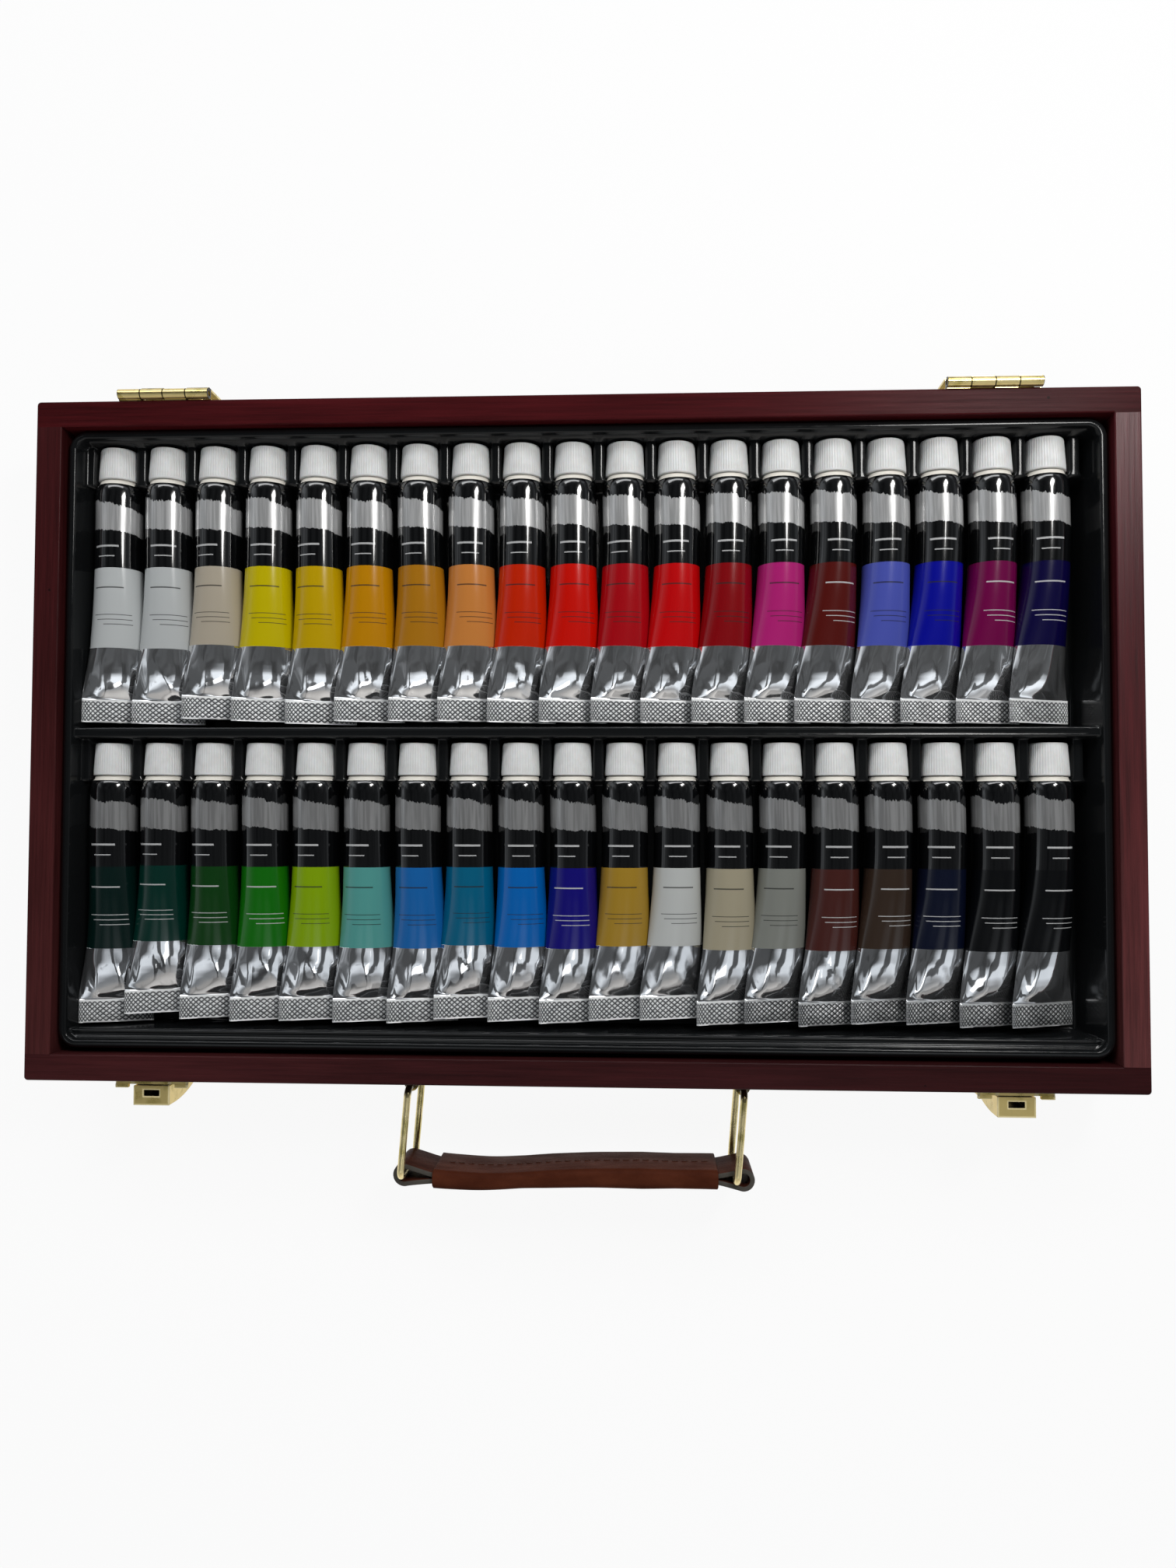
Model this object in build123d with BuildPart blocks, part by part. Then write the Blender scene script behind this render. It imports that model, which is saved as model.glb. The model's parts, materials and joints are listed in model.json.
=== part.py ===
from build123d import *
from math import cos, radians, sin
import os

# The base of a wooden paint box that lies flat on its underside, seen open. X runs along the box,
# with +X to the right. The hinges are at the back (+Y), the latches and the carrying handle at the
# front (-Y). The origin is the centre of the underside.

# Wooden base: its length and depth follow from the tray
base_height = 40.0
board_thickness = 9.5
panel_thickness = 4.0
panel_rebate = 4.5
panel_clearance = 0.2
corner_round = 1.4
edge_round = 0.6

# Formed plastic tray
tray_drop = 3.0
tray_side_gap = 0.8
tray_back_gap = 0.3
tray_front_gap = 1.6
tray_sheet = 1.0
tray_corner = 6.5
tray_edge_round = 2.0
tray_band = 3.2
tray_ledge_drop = 2.2
tray_back_ledge = 0.4
tray_front_ledge = 3.7
tray_left_room = 2.15
tray_right_room = 6.15
tray_pan_corner = 3.0
divider_width = 4.6
cap_rib_width = 3.4
cap_rib_overrun = 2.0
cap_rib_rise = 3.4

# Paint tubes, two rows
tubes_per_row = 19
tube_pitch = 19.3
tube_lean = 0.4
tube_roll = 18.0
tube_end_gap = 1.5
tube_rest_gap = 0.15
tube_top_drop = 2.4
tube_radius = 8.25
cap_length = 12.8
cap_top_radius = 5.8
cap_skirt_radius = 7.1
cap_wall = 1.6
cap_edge_round = 0.7
neck_radius = 4.0
neck_length = 9.0
neck_clearance = 0.08
collar_length = 2.4
collar_radius = 5.2
shoulder_length = 3.5
shoulder_radius = 7.3
tube_round_length = 26.5
tube_taper_length = 51.4
crimp_length = 7.4
crimp_width = 25.8
crimp_thickness = 1.1

# Hinges
hinge_left_inset = 48.0
hinge_right_inset = 51.4
hinge_length = 34.0
hinge_leaf_height = 14.0
hinge_sheet = 0.9
knuckle_radius = 1.9
knuckle_count = 4
knuckle_gap = 0.12
knuckle_stand = 0.35
hinge_pin_radius = 0.95
hinge_pin_inset = 1.0
hinge_screw_spacing = 22.0

# Latches
latch_left_inset = 46.4
latch_right_inset = 45.6
latch_top_drop = 2.4
latch_plate_drop = 0.9
latch_plate_width = 27.2
latch_plate_height = 24.0
latch_plate_sheet = 1.3
latch_plate_corner = 1.2
lever_width = 13.3
lever_reach = 9.0
lever_height = 24.0
lever_brow_height = 4.5
lever_foot_reach = 5.0
lever_sheet = 0.9
lever_back_gap = 0.6
lever_slot_width = 5.8
lever_slot_depth = 2.3
lever_slot_offset = 4.6
lever_pivot_drop = 17.0
lever_pivot_offset = 3.4
trunnion_radius = 0.8
running_clearance = 0.08
lug_sheet = 0.9
lug_gap = 0.35
lug_radius = 1.6
latch_screw_spacing_x = 20.6
latch_screw_spacing_z = 16.0

# Handle
bracket_left_x = -61.2
bracket_right_x = 60.6
bracket_height = 14.0
bracket_sheet = 1.0
bracket_flange = 22.0
bracket_foot = 8.0
ring_wire_radius = 1.3
ring_stand = 2.8
ring_height = 30.0
ring_reach = 32.2
ring_corner = 3.0
ring_lean = 4.6
strap_thickness = 1.8
strap_width = 20.0
left_loop_play = 0.58
right_loop_play = 2.58
left_loop_neck = 10.7
right_loop_neck = 9.2
loop_inner_radius = 2.3
loop_throat_radius = 0.45
sheath_wall = 1.2
sheath_fit = 0.05
sheath_width = 24.0
sheath_round = 2.4
bracket_screw_spacing = 16.6

# Brass countersunk wood screw, used everywhere
screw_radius = 1.0
screw_hole_radius = 1.2
screw_head_radius = 1.9
screw_length = 7.0
screw_tip_length = 1.8
screw_tip_radius = 0.3

# Sizes worked out from the ones above: the tubes give the pans, the pans the tray, and the tray
# gives the length and depth of the box
tube_head_length = cap_length + collar_length + shoulder_length
tube_length = tube_head_length + tube_round_length + tube_taper_length + crimp_length
pan_depth = tube_length + 2 * tube_end_gap
well_length = tray_left_room + tubes_per_row * tube_pitch + tray_right_room
well_depth = tray_back_ledge + 2 * pan_depth + divider_width + tray_front_ledge
tray_length = well_length + 2 * tray_band
tray_depth = well_depth + 2 * tray_band
inner_length = tray_length + 2 * tray_side_gap
inner_depth = tray_depth + tray_back_gap + tray_front_gap
box_length = inner_length + 2 * board_thickness
box_depth = inner_depth + 2 * board_thickness

# Places worked out from the sizes
left_end_x = -box_length / 2
right_end_x = box_length / 2
back_face_y = box_depth / 2
front_face_y = -box_depth / 2
mid_height = base_height / 2
tray_top = base_height - tray_drop
tray_y = (tray_front_gap - tray_back_gap) / 2
ledge_top = tray_top - tray_ledge_drop
back_pan_y = tray_y + well_depth / 2 - tray_back_ledge - pan_depth / 2
front_pan_y = back_pan_y - pan_depth - divider_width
tube_axis_z = tray_top - tube_top_drop - tube_radius
pan_floor = tube_axis_z - tube_radius - tube_rest_gap
hinge_left_x = left_end_x + hinge_left_inset
hinge_right_x = right_end_x - hinge_right_inset
hinge_axis_y = back_face_y + knuckle_radius + knuckle_stand
knuckle_length = hinge_length / knuckle_count
hinge_screw_z = base_height - knuckle_radius - hinge_leaf_height / 2
latch_left_x = left_end_x + latch_left_inset
latch_right_x = right_end_x - latch_right_inset
latch_top = base_height - latch_top_drop
latch_plate_z = base_height - latch_plate_drop - latch_plate_sheet - latch_plate_height / 2
lever_pivot_y = front_face_y - lever_pivot_offset
lever_pivot_z = latch_top - lever_pivot_drop
ring_bar_y = front_face_y - ring_stand
ring_shift_x = -ring_reach * sin(radians(ring_lean))
handle_y = ring_bar_y - ring_reach * cos(radians(ring_lean))
left_loop_x = bracket_left_x + ring_shift_x + left_loop_play
right_loop_x = bracket_right_x + ring_shift_x + right_loop_play
loop_outer_radius = loop_inner_radius + strap_thickness
sheath_left_x = left_loop_x + left_loop_neck
sheath_right_x = right_loop_x - right_loop_neck
screw_head_depth = screw_head_radius - screw_radius

os.makedirs("parts", exist_ok=True)


def save(builder, name):
    builder.part.label = name
    export_step(builder.part, f"parts/{name}.step")


# Where each screw sits: the hinge leaves on the back, the latch plates and brackets on the front.
hinge_screw_points = [
    (hinge_x + side * hinge_screw_spacing / 2, hinge_screw_z)
    for hinge_x in (hinge_left_x, hinge_right_x)
    for side in (-1, 1)
]
latch_screw_points = [
    (latch_x + side * latch_screw_spacing_x / 2, latch_plate_z + end * latch_screw_spacing_z / 2)
    for latch_x in (latch_left_x, latch_right_x)
    for side in (-1, 1)
    for end in (-1, 1)
]
bracket_screw_points = [
    (bracket_x + side * bracket_screw_spacing / 2, mid_height)
    for bracket_x in (bracket_left_x, bracket_right_x)
    for side in (-1, 1)
]


def screw_plane(point, face_y, outward):
    """The plane of a screw head: its normal points out of the box, towards the back or the front."""
    return Plane(origin=(point[0], face_y, point[1]), x_dir=(1, 0, 0), z_dir=(0, outward, 0))


hinge_screw_planes = [screw_plane(p, back_face_y + hinge_sheet, 1) for p in hinge_screw_points]
latch_screw_planes = [screw_plane(p, front_face_y - latch_plate_sheet, -1) for p in latch_screw_points]
bracket_screw_planes = [screw_plane(p, front_face_y - bracket_sheet, -1) for p in bracket_screw_points]


# Front and back boards run the full length. Their inner lower edge is rebated for the base panel,
# and the edge of the opening is eased between the side boards.
def long_board(side, screw_planes):
    with BuildPart() as board:
        with BuildSketch():
            with Locations((0, side * (box_depth - board_thickness) / 2)):
                Rectangle(box_length, board_thickness)
        extrude(amount=base_height)
        outer_edges = board.edges().filter_by(Axis.Z).sort_by(Axis.Y)
        fillet(outer_edges[-2:] if side > 0 else outer_edges[:2], radius=corner_round)
        with BuildSketch():
            with Locations((0, side * (inner_depth + panel_rebate) / 2)):
                Rectangle(inner_length + 2 * panel_rebate, panel_rebate)
        extrude(amount=panel_thickness, mode=Mode.SUBTRACT)
        with BuildSketch(Plane.YZ):
            with Locations((side * inner_depth / 2, base_height)):
                Rectangle(2 * edge_round, 2 * edge_round)
            with Locations((side * (inner_depth / 2 + edge_round), base_height - edge_round)):
                Circle(edge_round, mode=Mode.SUBTRACT)
        extrude(amount=inner_length / 2, both=True, mode=Mode.SUBTRACT)
        outer_face = board.faces().sort_by(Axis.Y)[-1 if side > 0 else 0]
        fillet(outer_face.edges().sort_by(Axis.Z)[-1], radius=edge_round)
        for plane in screw_planes:
            with BuildSketch(plane):
                Circle(screw_radius)
            extrude(amount=-screw_length, mode=Mode.SUBTRACT)
    return board


back_board = long_board(1, hinge_screw_planes)
save(back_board, "back_board")
front_board = long_board(-1, latch_screw_planes + bracket_screw_planes)
save(front_board, "front_board")


# Side boards stand between the long ones.
def side_board(side):
    with BuildPart() as board:
        with BuildSketch():
            with Locations((side * (box_length - board_thickness) / 2, 0)):
                Rectangle(board_thickness, inner_depth)
        extrude(amount=base_height)
        with BuildSketch():
            with Locations((side * (inner_length + panel_rebate) / 2, 0)):
                Rectangle(panel_rebate, inner_depth)
        extrude(amount=panel_thickness, mode=Mode.SUBTRACT)
        top_face = board.faces().sort_by(Axis.Z)[-1]
        fillet(top_face.edges().filter_by(Axis.Y), radius=edge_round)
    return board


save(side_board(-1), "left_board")
save(side_board(1), "right_board")

# The base panel lies in the rebate, flush with the underside.
with BuildPart() as base_panel:
    with BuildSketch():
        Rectangle(
            inner_length + 2 * (panel_rebate - panel_clearance),
            inner_depth + 2 * (panel_rebate - panel_clearance),
        )
    extrude(amount=panel_thickness)
save(base_panel, "base_panel")

# The tray is one formed sheet: a skirt that stands on the base panel, a flat band round the top,
# a ledge a step lower, and two pans with a bar between them. Hollow ribs part the caps.
pan_places = [(0, back_pan_y), (0, front_pan_y)]
row_cap_ends = [pan_y + pan_depth / 2 - tube_end_gap for pan_y in (back_pan_y, front_pan_y)]
rib_span = tube_end_gap + cap_length + cap_rib_overrun
rib_height = tube_axis_z + cap_rib_rise - pan_floor
first_tube_x = tray_left_room + tube_pitch / 2 - well_length / 2
tube_xs = [first_tube_x + i * tube_pitch for i in range(tubes_per_row)]
rib_places = [
    (first_tube_x + (i - 0.5) * tube_pitch, pan_y + (pan_depth - rib_span) / 2)
    for pan_y in (back_pan_y, front_pan_y)
    for i in range(tubes_per_row + 1)
    if first_tube_x + (i - 0.5) * tube_pitch > -well_length / 2 + cap_rib_width
]

with BuildPart() as paint_tray:
    with BuildSketch(Plane.XY.offset(panel_thickness)):
        with Locations((0, tray_y)):
            RectangleRounded(tray_length, tray_depth, tray_corner)
    extrude(amount=tray_top - panel_thickness)
    fillet(paint_tray.faces().sort_by(Axis.Z)[-1].edges(), radius=tray_edge_round)
    with BuildSketch(Plane.XY.offset(panel_thickness)):
        with Locations((0, tray_y)):
            RectangleRounded(tray_length - 2 * tray_sheet, tray_depth - 2 * tray_sheet,
                             tray_corner - tray_sheet)
    extrude(amount=tray_top - panel_thickness - tray_sheet, mode=Mode.SUBTRACT)
    with BuildSketch(Plane.XY.offset(ledge_top - tray_sheet)):
        with Locations((0, tray_y)):
            RectangleRounded(well_length + 2 * tray_sheet, well_depth + 2 * tray_sheet, tray_corner)
    extrude(amount=tray_ledge_drop)
    with BuildSketch(Plane.XY.offset(pan_floor - tray_sheet)):
        with Locations(*pan_places):
            RectangleRounded(well_length + 2 * tray_sheet, pan_depth + 2 * tray_sheet, tray_pan_corner)
    extrude(amount=ledge_top - pan_floor)
    with BuildSketch(Plane.XY.offset(ledge_top)):
        with Locations((0, tray_y)):
            RectangleRounded(well_length, well_depth, tray_corner - tray_sheet)
    extrude(amount=tray_ledge_drop, mode=Mode.SUBTRACT)
    with BuildSketch(Plane.XY.offset(pan_floor)):
        with Locations(*pan_places):
            RectangleRounded(well_length, pan_depth, tray_pan_corner - tray_sheet)
    extrude(amount=ledge_top - pan_floor, mode=Mode.SUBTRACT)
    with BuildSketch(Plane.XY.offset(pan_floor)):
        with Locations(*rib_places):
            Rectangle(cap_rib_width, rib_span)
    extrude(amount=rib_height)
    with BuildSketch(Plane.XY.offset(pan_floor - tray_sheet)):
        with Locations(*rib_places):
            Rectangle(cap_rib_width - 2 * tray_sheet, rib_span - 2 * tray_sheet)
    extrude(amount=rib_height, mode=Mode.SUBTRACT)
save(paint_tray, "paint_tray")


# A paint tube points along +Y, with the end of its cap at the origin. The neck and collar are
# turned, the body is round below the shoulder and flattens to the crimp, rolled about its axis.
def section_plane(distance):
    return Plane(
        origin=(0, -distance, 0),
        x_dir=(cos(radians(tube_roll)), 0, -sin(radians(tube_roll))),
        z_dir=(0, -1, 0),
    )


shoulder_at = cap_length + collar_length
taper_at = tube_head_length + tube_round_length
crimp_at = taper_at + tube_taper_length
half_width = (tube_radius + crimp_width / 2) / 2
half_thickness = (tube_radius + crimp_thickness / 2) / 2

with BuildPart() as tube_blank:
    with BuildSketch(section_plane(cap_length - neck_length)):
        Circle(neck_radius)
    extrude(amount=neck_length)
    with BuildSketch(section_plane(cap_length)):
        Circle(collar_radius)
    with BuildSketch(section_plane(shoulder_at)):
        Circle(shoulder_radius)
    loft()
    with BuildSketch(section_plane(shoulder_at)):
        Circle(shoulder_radius)
    with BuildSketch(section_plane(tube_head_length)):
        Circle(tube_radius)
    loft()
    with BuildSketch(section_plane(tube_head_length)):
        Circle(tube_radius)
    extrude(amount=tube_round_length)
    with BuildSketch(section_plane(taper_at)):
        Circle(tube_radius)
    with BuildSketch(section_plane(taper_at + tube_taper_length / 2)):
        Ellipse(half_width, half_thickness)
    with BuildSketch(section_plane(crimp_at)):
        Ellipse(crimp_width / 2, crimp_thickness / 2)
    loft()
    with BuildSketch(section_plane(crimp_at)):
        Rectangle(crimp_width, crimp_thickness)
    extrude(amount=crimp_length)

with BuildPart() as cap_blank:
    with BuildSketch(Plane.XY):
        with BuildLine():
            Polyline(
                (0, 0),
                (cap_top_radius, 0),
                (cap_skirt_radius, -cap_length),
                (neck_radius + neck_clearance, -cap_length),
                (neck_radius + neck_clearance, -cap_wall),
                (0, -cap_wall),
                (0, 0),
            )
        make_face()
    revolve(axis=Axis.Y)
    rim = cap_blank.edges().filter_by(GeomType.CIRCLE).sort_by(Axis.Y)[-1]
    fillet(rim, radius=cap_edge_round)


def tube_place(x, row):
    """Where the end of a tube's cap lies. Every tube leans the same way in its pan."""
    return Location((x, row_cap_ends[row], tube_axis_z), (0, 0, tube_lean))


row_colours = (
    ("white", "zinc_white", "milky_beige", "lemon_yellow", "medium_yellow", "deep_yellow", "ochre",
     "coral", "orange", "vermilion", "rose_red", "scarlet", "crimson", "magenta", "burnt_sienna",
     "blue_violet", "ultramarine", "purple", "dark_violet"),
    ("dark_teal", "turquoise_green", "grass_green", "light_green", "olive_lime", "ocean_green",
     "pale_blue", "lake_blue", "sky_blue", "deep_blue", "gold", "silver", "warm_grey",
     "neutral_grey", "burnt_umber", "raw_umber", "navy", "black", "lamp_black"),
)
for row, colours in enumerate(row_colours):
    for column, colour in enumerate(colours):
        with BuildPart() as paint_tube:
            with Locations(tube_place(tube_xs[column], row)):
                add(tube_blank.part)
        save(paint_tube, f"tube_{row * tubes_per_row + column + 1:02d}_{colour}")

# The caps screw on the necks. The last cap of the back row is its own piece, with its tube.
with BuildPart() as back_row_caps:
    with Locations(*[tube_place(x, 0) for x in tube_xs[:-1]]):
        add(cap_blank.part)
save(back_row_caps, "back_row_caps")
with BuildPart() as front_row_caps:
    with Locations(*[tube_place(x, 1) for x in tube_xs]):
        add(cap_blank.part)
save(front_row_caps, "front_row_caps")
with BuildPart() as loose_cap:
    with Locations(tube_place(tube_xs[-1], 0)):
        add(cap_blank.part)
save(loose_cap, "dark_violet_cap")


# A hinge leaf is a plate with every second knuckle of the barrel rolled from it. The base leaf is
# screwed to the back board, and the lid leaf hangs behind it from the same pin, its holes free.
def hinge_leaf(hinge_x, outward, first_knuckle):
    plate_y = hinge_axis_y + outward * (knuckle_radius + knuckle_stand - hinge_sheet / 2)
    left_end = hinge_x - hinge_length / 2
    own = [left_end + (i + 0.5) * knuckle_length for i in range(first_knuckle, knuckle_count, 2)]
    other = [left_end + (i + 0.5) * knuckle_length for i in range(1 - first_knuckle, knuckle_count, 2)]
    with BuildPart() as leaf:
        with BuildSketch(Plane.XZ.offset(-plate_y - hinge_sheet / 2)):
            with Locations((hinge_x, base_height)):
                Rectangle(hinge_length, knuckle_radius + hinge_leaf_height, align=(Align.CENTER, Align.MAX))
            with Locations(*[(x, base_height) for x in other]):
                Rectangle(knuckle_length + knuckle_gap, 2 * (knuckle_radius + knuckle_gap),
                          mode=Mode.SUBTRACT)
            if outward > 0:
                with Locations(*[(hinge_x + s * hinge_screw_spacing / 2, hinge_screw_z) for s in (-1, 1)]):
                    Circle(screw_hole_radius, mode=Mode.SUBTRACT)
        extrude(amount=hinge_sheet)
        for x in own:
            with BuildSketch(Plane.YZ.offset(x - (knuckle_length - knuckle_gap) / 2)):
                with Locations((hinge_axis_y, base_height)):
                    Circle(knuckle_radius)
                with Locations((hinge_axis_y, base_height)):
                    Rectangle(knuckle_radius + knuckle_stand, knuckle_radius,
                              align=(Align.MIN if outward > 0 else Align.MAX, Align.MAX))
            extrude(amount=knuckle_length - knuckle_gap)
        with BuildSketch(Plane.YZ.offset(left_end)):
            with Locations((hinge_axis_y, base_height)):
                Circle(hinge_pin_radius + running_clearance)
        extrude(amount=hinge_length, mode=Mode.SUBTRACT)
    return leaf.part


def screw_seats(planes):
    """The cones that seat the screw heads, flush with each plane."""
    with BuildPart() as seats:
        for plane in planes:
            with BuildSketch(plane):
                Circle(screw_head_radius)
            with BuildSketch(plane.offset(-screw_head_depth)):
                Circle(screw_radius)
            loft()
            with BuildSketch(plane.offset(-screw_head_depth)):
                Circle(screw_radius)
            extrude(amount=-screw_head_depth)
    return seats.part


with BuildPart() as hinge_base_leaves:
    add(hinge_leaf(hinge_left_x, -1, 0))
    add(hinge_leaf(hinge_right_x, -1, 0))
    add(screw_seats(hinge_screw_planes), mode=Mode.SUBTRACT)
save(hinge_base_leaves, "hinge_base_leaves")
with BuildPart() as left_lid_leaf:
    add(hinge_leaf(hinge_left_x, 1, 1))
save(left_lid_leaf, "hinge_left_lid_leaf")
with BuildPart() as right_lid_leaf:
    add(hinge_leaf(hinge_right_x, 1, 1))
save(right_lid_leaf, "hinge_right_lid_leaf")
with BuildPart() as hinge_pins:
    for hinge_x in (hinge_left_x, hinge_right_x):
        with BuildSketch(Plane.YZ.offset(hinge_x - hinge_length / 2 + hinge_pin_inset)):
            with Locations((hinge_axis_y, base_height)):
                Circle(hinge_pin_radius)
        extrude(amount=hinge_length - 2 * hinge_pin_inset)
save(hinge_pins, "hinge_pins")

# Each latch plate carries two lugs, which hold the lever's trunnions.
lug_x = lever_width / 2 - lever_sheet - lug_gap - lug_sheet / 2
with BuildPart() as latch_plates:
    with BuildSketch(Plane.XZ.offset(-front_face_y)):
        with Locations((latch_left_x, latch_plate_z), (latch_right_x, latch_plate_z)):
            RectangleRounded(latch_plate_width, latch_plate_height, latch_plate_corner)
    extrude(amount=latch_plate_sheet)
    for x in [latch_x + side * lug_x for latch_x in (latch_left_x, latch_right_x) for side in (-1, 1)]:
        with BuildSketch(Plane.YZ.offset(x - lug_sheet / 2)):
            with Locations((lever_pivot_y, lever_pivot_z)):
                Circle(lug_radius)
                Rectangle(lever_pivot_offset - latch_plate_sheet, 2 * lug_radius,
                          align=(Align.MIN, Align.CENTER))
            with Locations((lever_pivot_y, lever_pivot_z)):
                Circle(trunnion_radius + running_clearance, mode=Mode.SUBTRACT)
        extrude(amount=lug_sheet)
    add(screw_seats(latch_screw_planes), mode=Mode.SUBTRACT)
save(latch_plates, "latch_plates")


# A latch lever is a folded channel: a front wall that curves in towards the plate at its foot, two
# side walls and a top with the slot that takes the lid's hook.
def latch_lever(latch_x):
    top_y = front_face_y - lever_reach
    brow_z = latch_top - lever_brow_height
    foot_y = front_face_y - lever_foot_reach
    foot_z = latch_top - lever_height
    back_y = front_face_y - latch_plate_sheet - lever_back_gap
    with BuildPart() as lever:
        with BuildSketch(Plane.YZ.offset(latch_x - lever_width / 2)):
            with BuildLine():
                roof = Line((back_y, latch_top), (top_y, latch_top))
                brow = Line(roof @ 1, (top_y, brow_z))
                bill = TangentArc(brow @ 1, (foot_y, foot_z), tangent=(0, -1))
                lip = Line(bill @ 1, (foot_y + lever_sheet, foot_z))
                Polyline(lip @ 1, (back_y, lever_pivot_z - lever_sheet), roof @ 0)
            make_face()
        extrude(amount=lever_width)
        hollow_left = latch_x - lever_width / 2 + lever_sheet
        with BuildSketch(Plane.YZ.offset(hollow_left)):
            with BuildLine():
                ceiling = Line((back_y + lever_sheet, latch_top - lever_sheet),
                               (top_y + lever_sheet, latch_top - lever_sheet))
                inner_brow = Line(ceiling @ 1, (top_y + lever_sheet, brow_z))
                inner_bill = TangentArc(inner_brow @ 1, (foot_y + lever_sheet, foot_z), tangent=(0, -1))
                Polyline(inner_bill @ 1, (back_y + lever_sheet, foot_z), ceiling @ 0)
            make_face()
        extrude(amount=lever_width - 2 * lever_sheet, mode=Mode.SUBTRACT)
        with BuildSketch(Plane.XY.offset(latch_top)):
            with Locations((latch_x, front_face_y - lever_slot_offset)):
                Rectangle(lever_slot_width, lever_slot_depth)
        extrude(amount=-lever_sheet, mode=Mode.SUBTRACT)
        for side in (-1, 1):
            trunnion_end = latch_x + side * (lug_x - lug_sheet / 2)
            wall_inside = latch_x + side * (lever_width / 2 - lever_sheet)
            start = min(trunnion_end, wall_inside)
            with BuildSketch(Plane.YZ.offset(start)):
                with Locations((lever_pivot_y, lever_pivot_z)):
                    Circle(trunnion_radius)
            extrude(amount=abs(wall_inside - trunnion_end))
    return lever


save(latch_lever(latch_left_x), "latch_left_lever")
save(latch_lever(latch_right_x), "latch_right_lever")

# A handle bracket is a saddle pressed over the upright bar of its ring, with a flange each side.
with BuildPart() as handle_brackets:
    for bracket_x in (bracket_left_x, bracket_right_x):
        with BuildSketch(Plane.XY.offset(mid_height - bracket_height / 2)):
            with Locations((bracket_x, ring_bar_y)):
                Circle(ring_wire_radius + running_clearance + bracket_sheet)
            with Locations((bracket_x, front_face_y)):
                Rectangle(bracket_foot, bracket_sheet, align=(Align.CENTER, Align.MAX))
            make_hull()
            with Locations((bracket_x, front_face_y)):
                Rectangle(bracket_flange, bracket_sheet, align=(Align.CENTER, Align.MAX))
            with Locations((bracket_x, ring_bar_y)):
                Circle(ring_wire_radius + running_clearance, mode=Mode.SUBTRACT)
                Rectangle(2 * (ring_wire_radius + running_clearance), ring_stand,
                          align=(Align.CENTER, Align.MIN), mode=Mode.SUBTRACT)
        extrude(amount=bracket_height)
    add(screw_seats(bracket_screw_planes), mode=Mode.SUBTRACT)
save(handle_brackets, "handle_brackets")


# Each ring is a bent wire rectangle that stands out from the front and leans a little to the left.
def handle_ring(bracket_x):
    ring_plane = Plane(
        origin=(bracket_x, ring_bar_y, mid_height),
        x_dir=(-sin(radians(ring_lean)), -cos(radians(ring_lean)), 0),
        z_dir=(cos(radians(ring_lean)), -sin(radians(ring_lean)), 0),
    )
    bar_span = ring_height - 2 * ring_wire_radius
    with BuildPart() as ring:
        with BuildLine(ring_plane) as ring_path:
            FilletPolyline(
                (0, -bar_span / 2), (0, bar_span / 2), (ring_reach, bar_span / 2),
                (ring_reach, -bar_span / 2), radius=ring_corner, close=True,
            )
        with BuildSketch(Plane(origin=ring_path.line @ 0, z_dir=ring_path.line % 0)):
            Circle(ring_wire_radius)
        sweep()
    return ring


save(handle_ring(bracket_left_x), "handle_left_ring")
save(handle_ring(bracket_right_x), "handle_right_ring")

# The strap is one leather band. Its two layers lie together, and open into a loop round each ring.
with BuildPart() as handle_strap:
    with BuildSketch(Plane.XY.offset(mid_height - strap_width / 2)):
        with Locations((sheath_left_x / 2 + sheath_right_x / 2, handle_y)):
            Rectangle(sheath_right_x - sheath_left_x, 2 * strap_thickness)
        for loop_x, neck_x in ((left_loop_x, sheath_left_x), (right_loop_x, sheath_right_x)):
            with BuildSketch(mode=Mode.PRIVATE) as loop_outside:
                with Locations((loop_x, handle_y)):
                    Circle(loop_outer_radius)
                with Locations((neck_x, handle_y)):
                    Circle(strap_thickness)
                make_hull()
            add(loop_outside.sketch)
        for loop_x, neck_x in ((left_loop_x, sheath_left_x), (right_loop_x, sheath_right_x)):
            with BuildSketch(mode=Mode.PRIVATE) as loop_inside:
                with Locations((loop_x, handle_y)):
                    Circle(loop_inner_radius)
                with Locations((neck_x, handle_y)):
                    Circle(loop_throat_radius)
                make_hull()
            add(loop_inside.sketch, mode=Mode.SUBTRACT)
    extrude(amount=strap_width)
save(handle_strap, "handle_strap")

# The sheath is wrapped round the middle of the strap and sewn along its inner face.
with BuildPart() as handle_sheath:
    with BuildSketch(Plane.YZ.offset(sheath_left_x)):
        with Locations((handle_y, mid_height)):
            RectangleRounded(2 * (strap_thickness + sheath_fit + sheath_wall), sheath_width, sheath_round)
            Rectangle(2 * (strap_thickness + sheath_fit), strap_width + 2 * sheath_fit, mode=Mode.SUBTRACT)
    extrude(amount=sheath_right_x - sheath_left_x)
save(handle_sheath, "handle_sheath")

# Screws, heads flush with the plates that they hold.
with BuildPart() as wood_screws:
    for plane in hinge_screw_planes + latch_screw_planes + bracket_screw_planes:
        with BuildSketch(plane):
            Circle(screw_head_radius)
        with BuildSketch(plane.offset(-screw_head_depth)):
            Circle(screw_radius)
        loft()
        with BuildSketch(plane.offset(-screw_head_depth)):
            Circle(screw_radius)
        extrude(amount=-(screw_length - screw_head_depth - screw_tip_length))
        with BuildSketch(plane.offset(screw_tip_length - screw_length)):
            Circle(screw_radius)
        with BuildSketch(plane.offset(-screw_length)):
            Circle(screw_tip_radius)
        loft()
save(wood_screws, "wood_screws")
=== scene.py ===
import json
from math import pi, radians

import bmesh
import bpy
import numpy as np
from mathutils import Matrix, Vector

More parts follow.
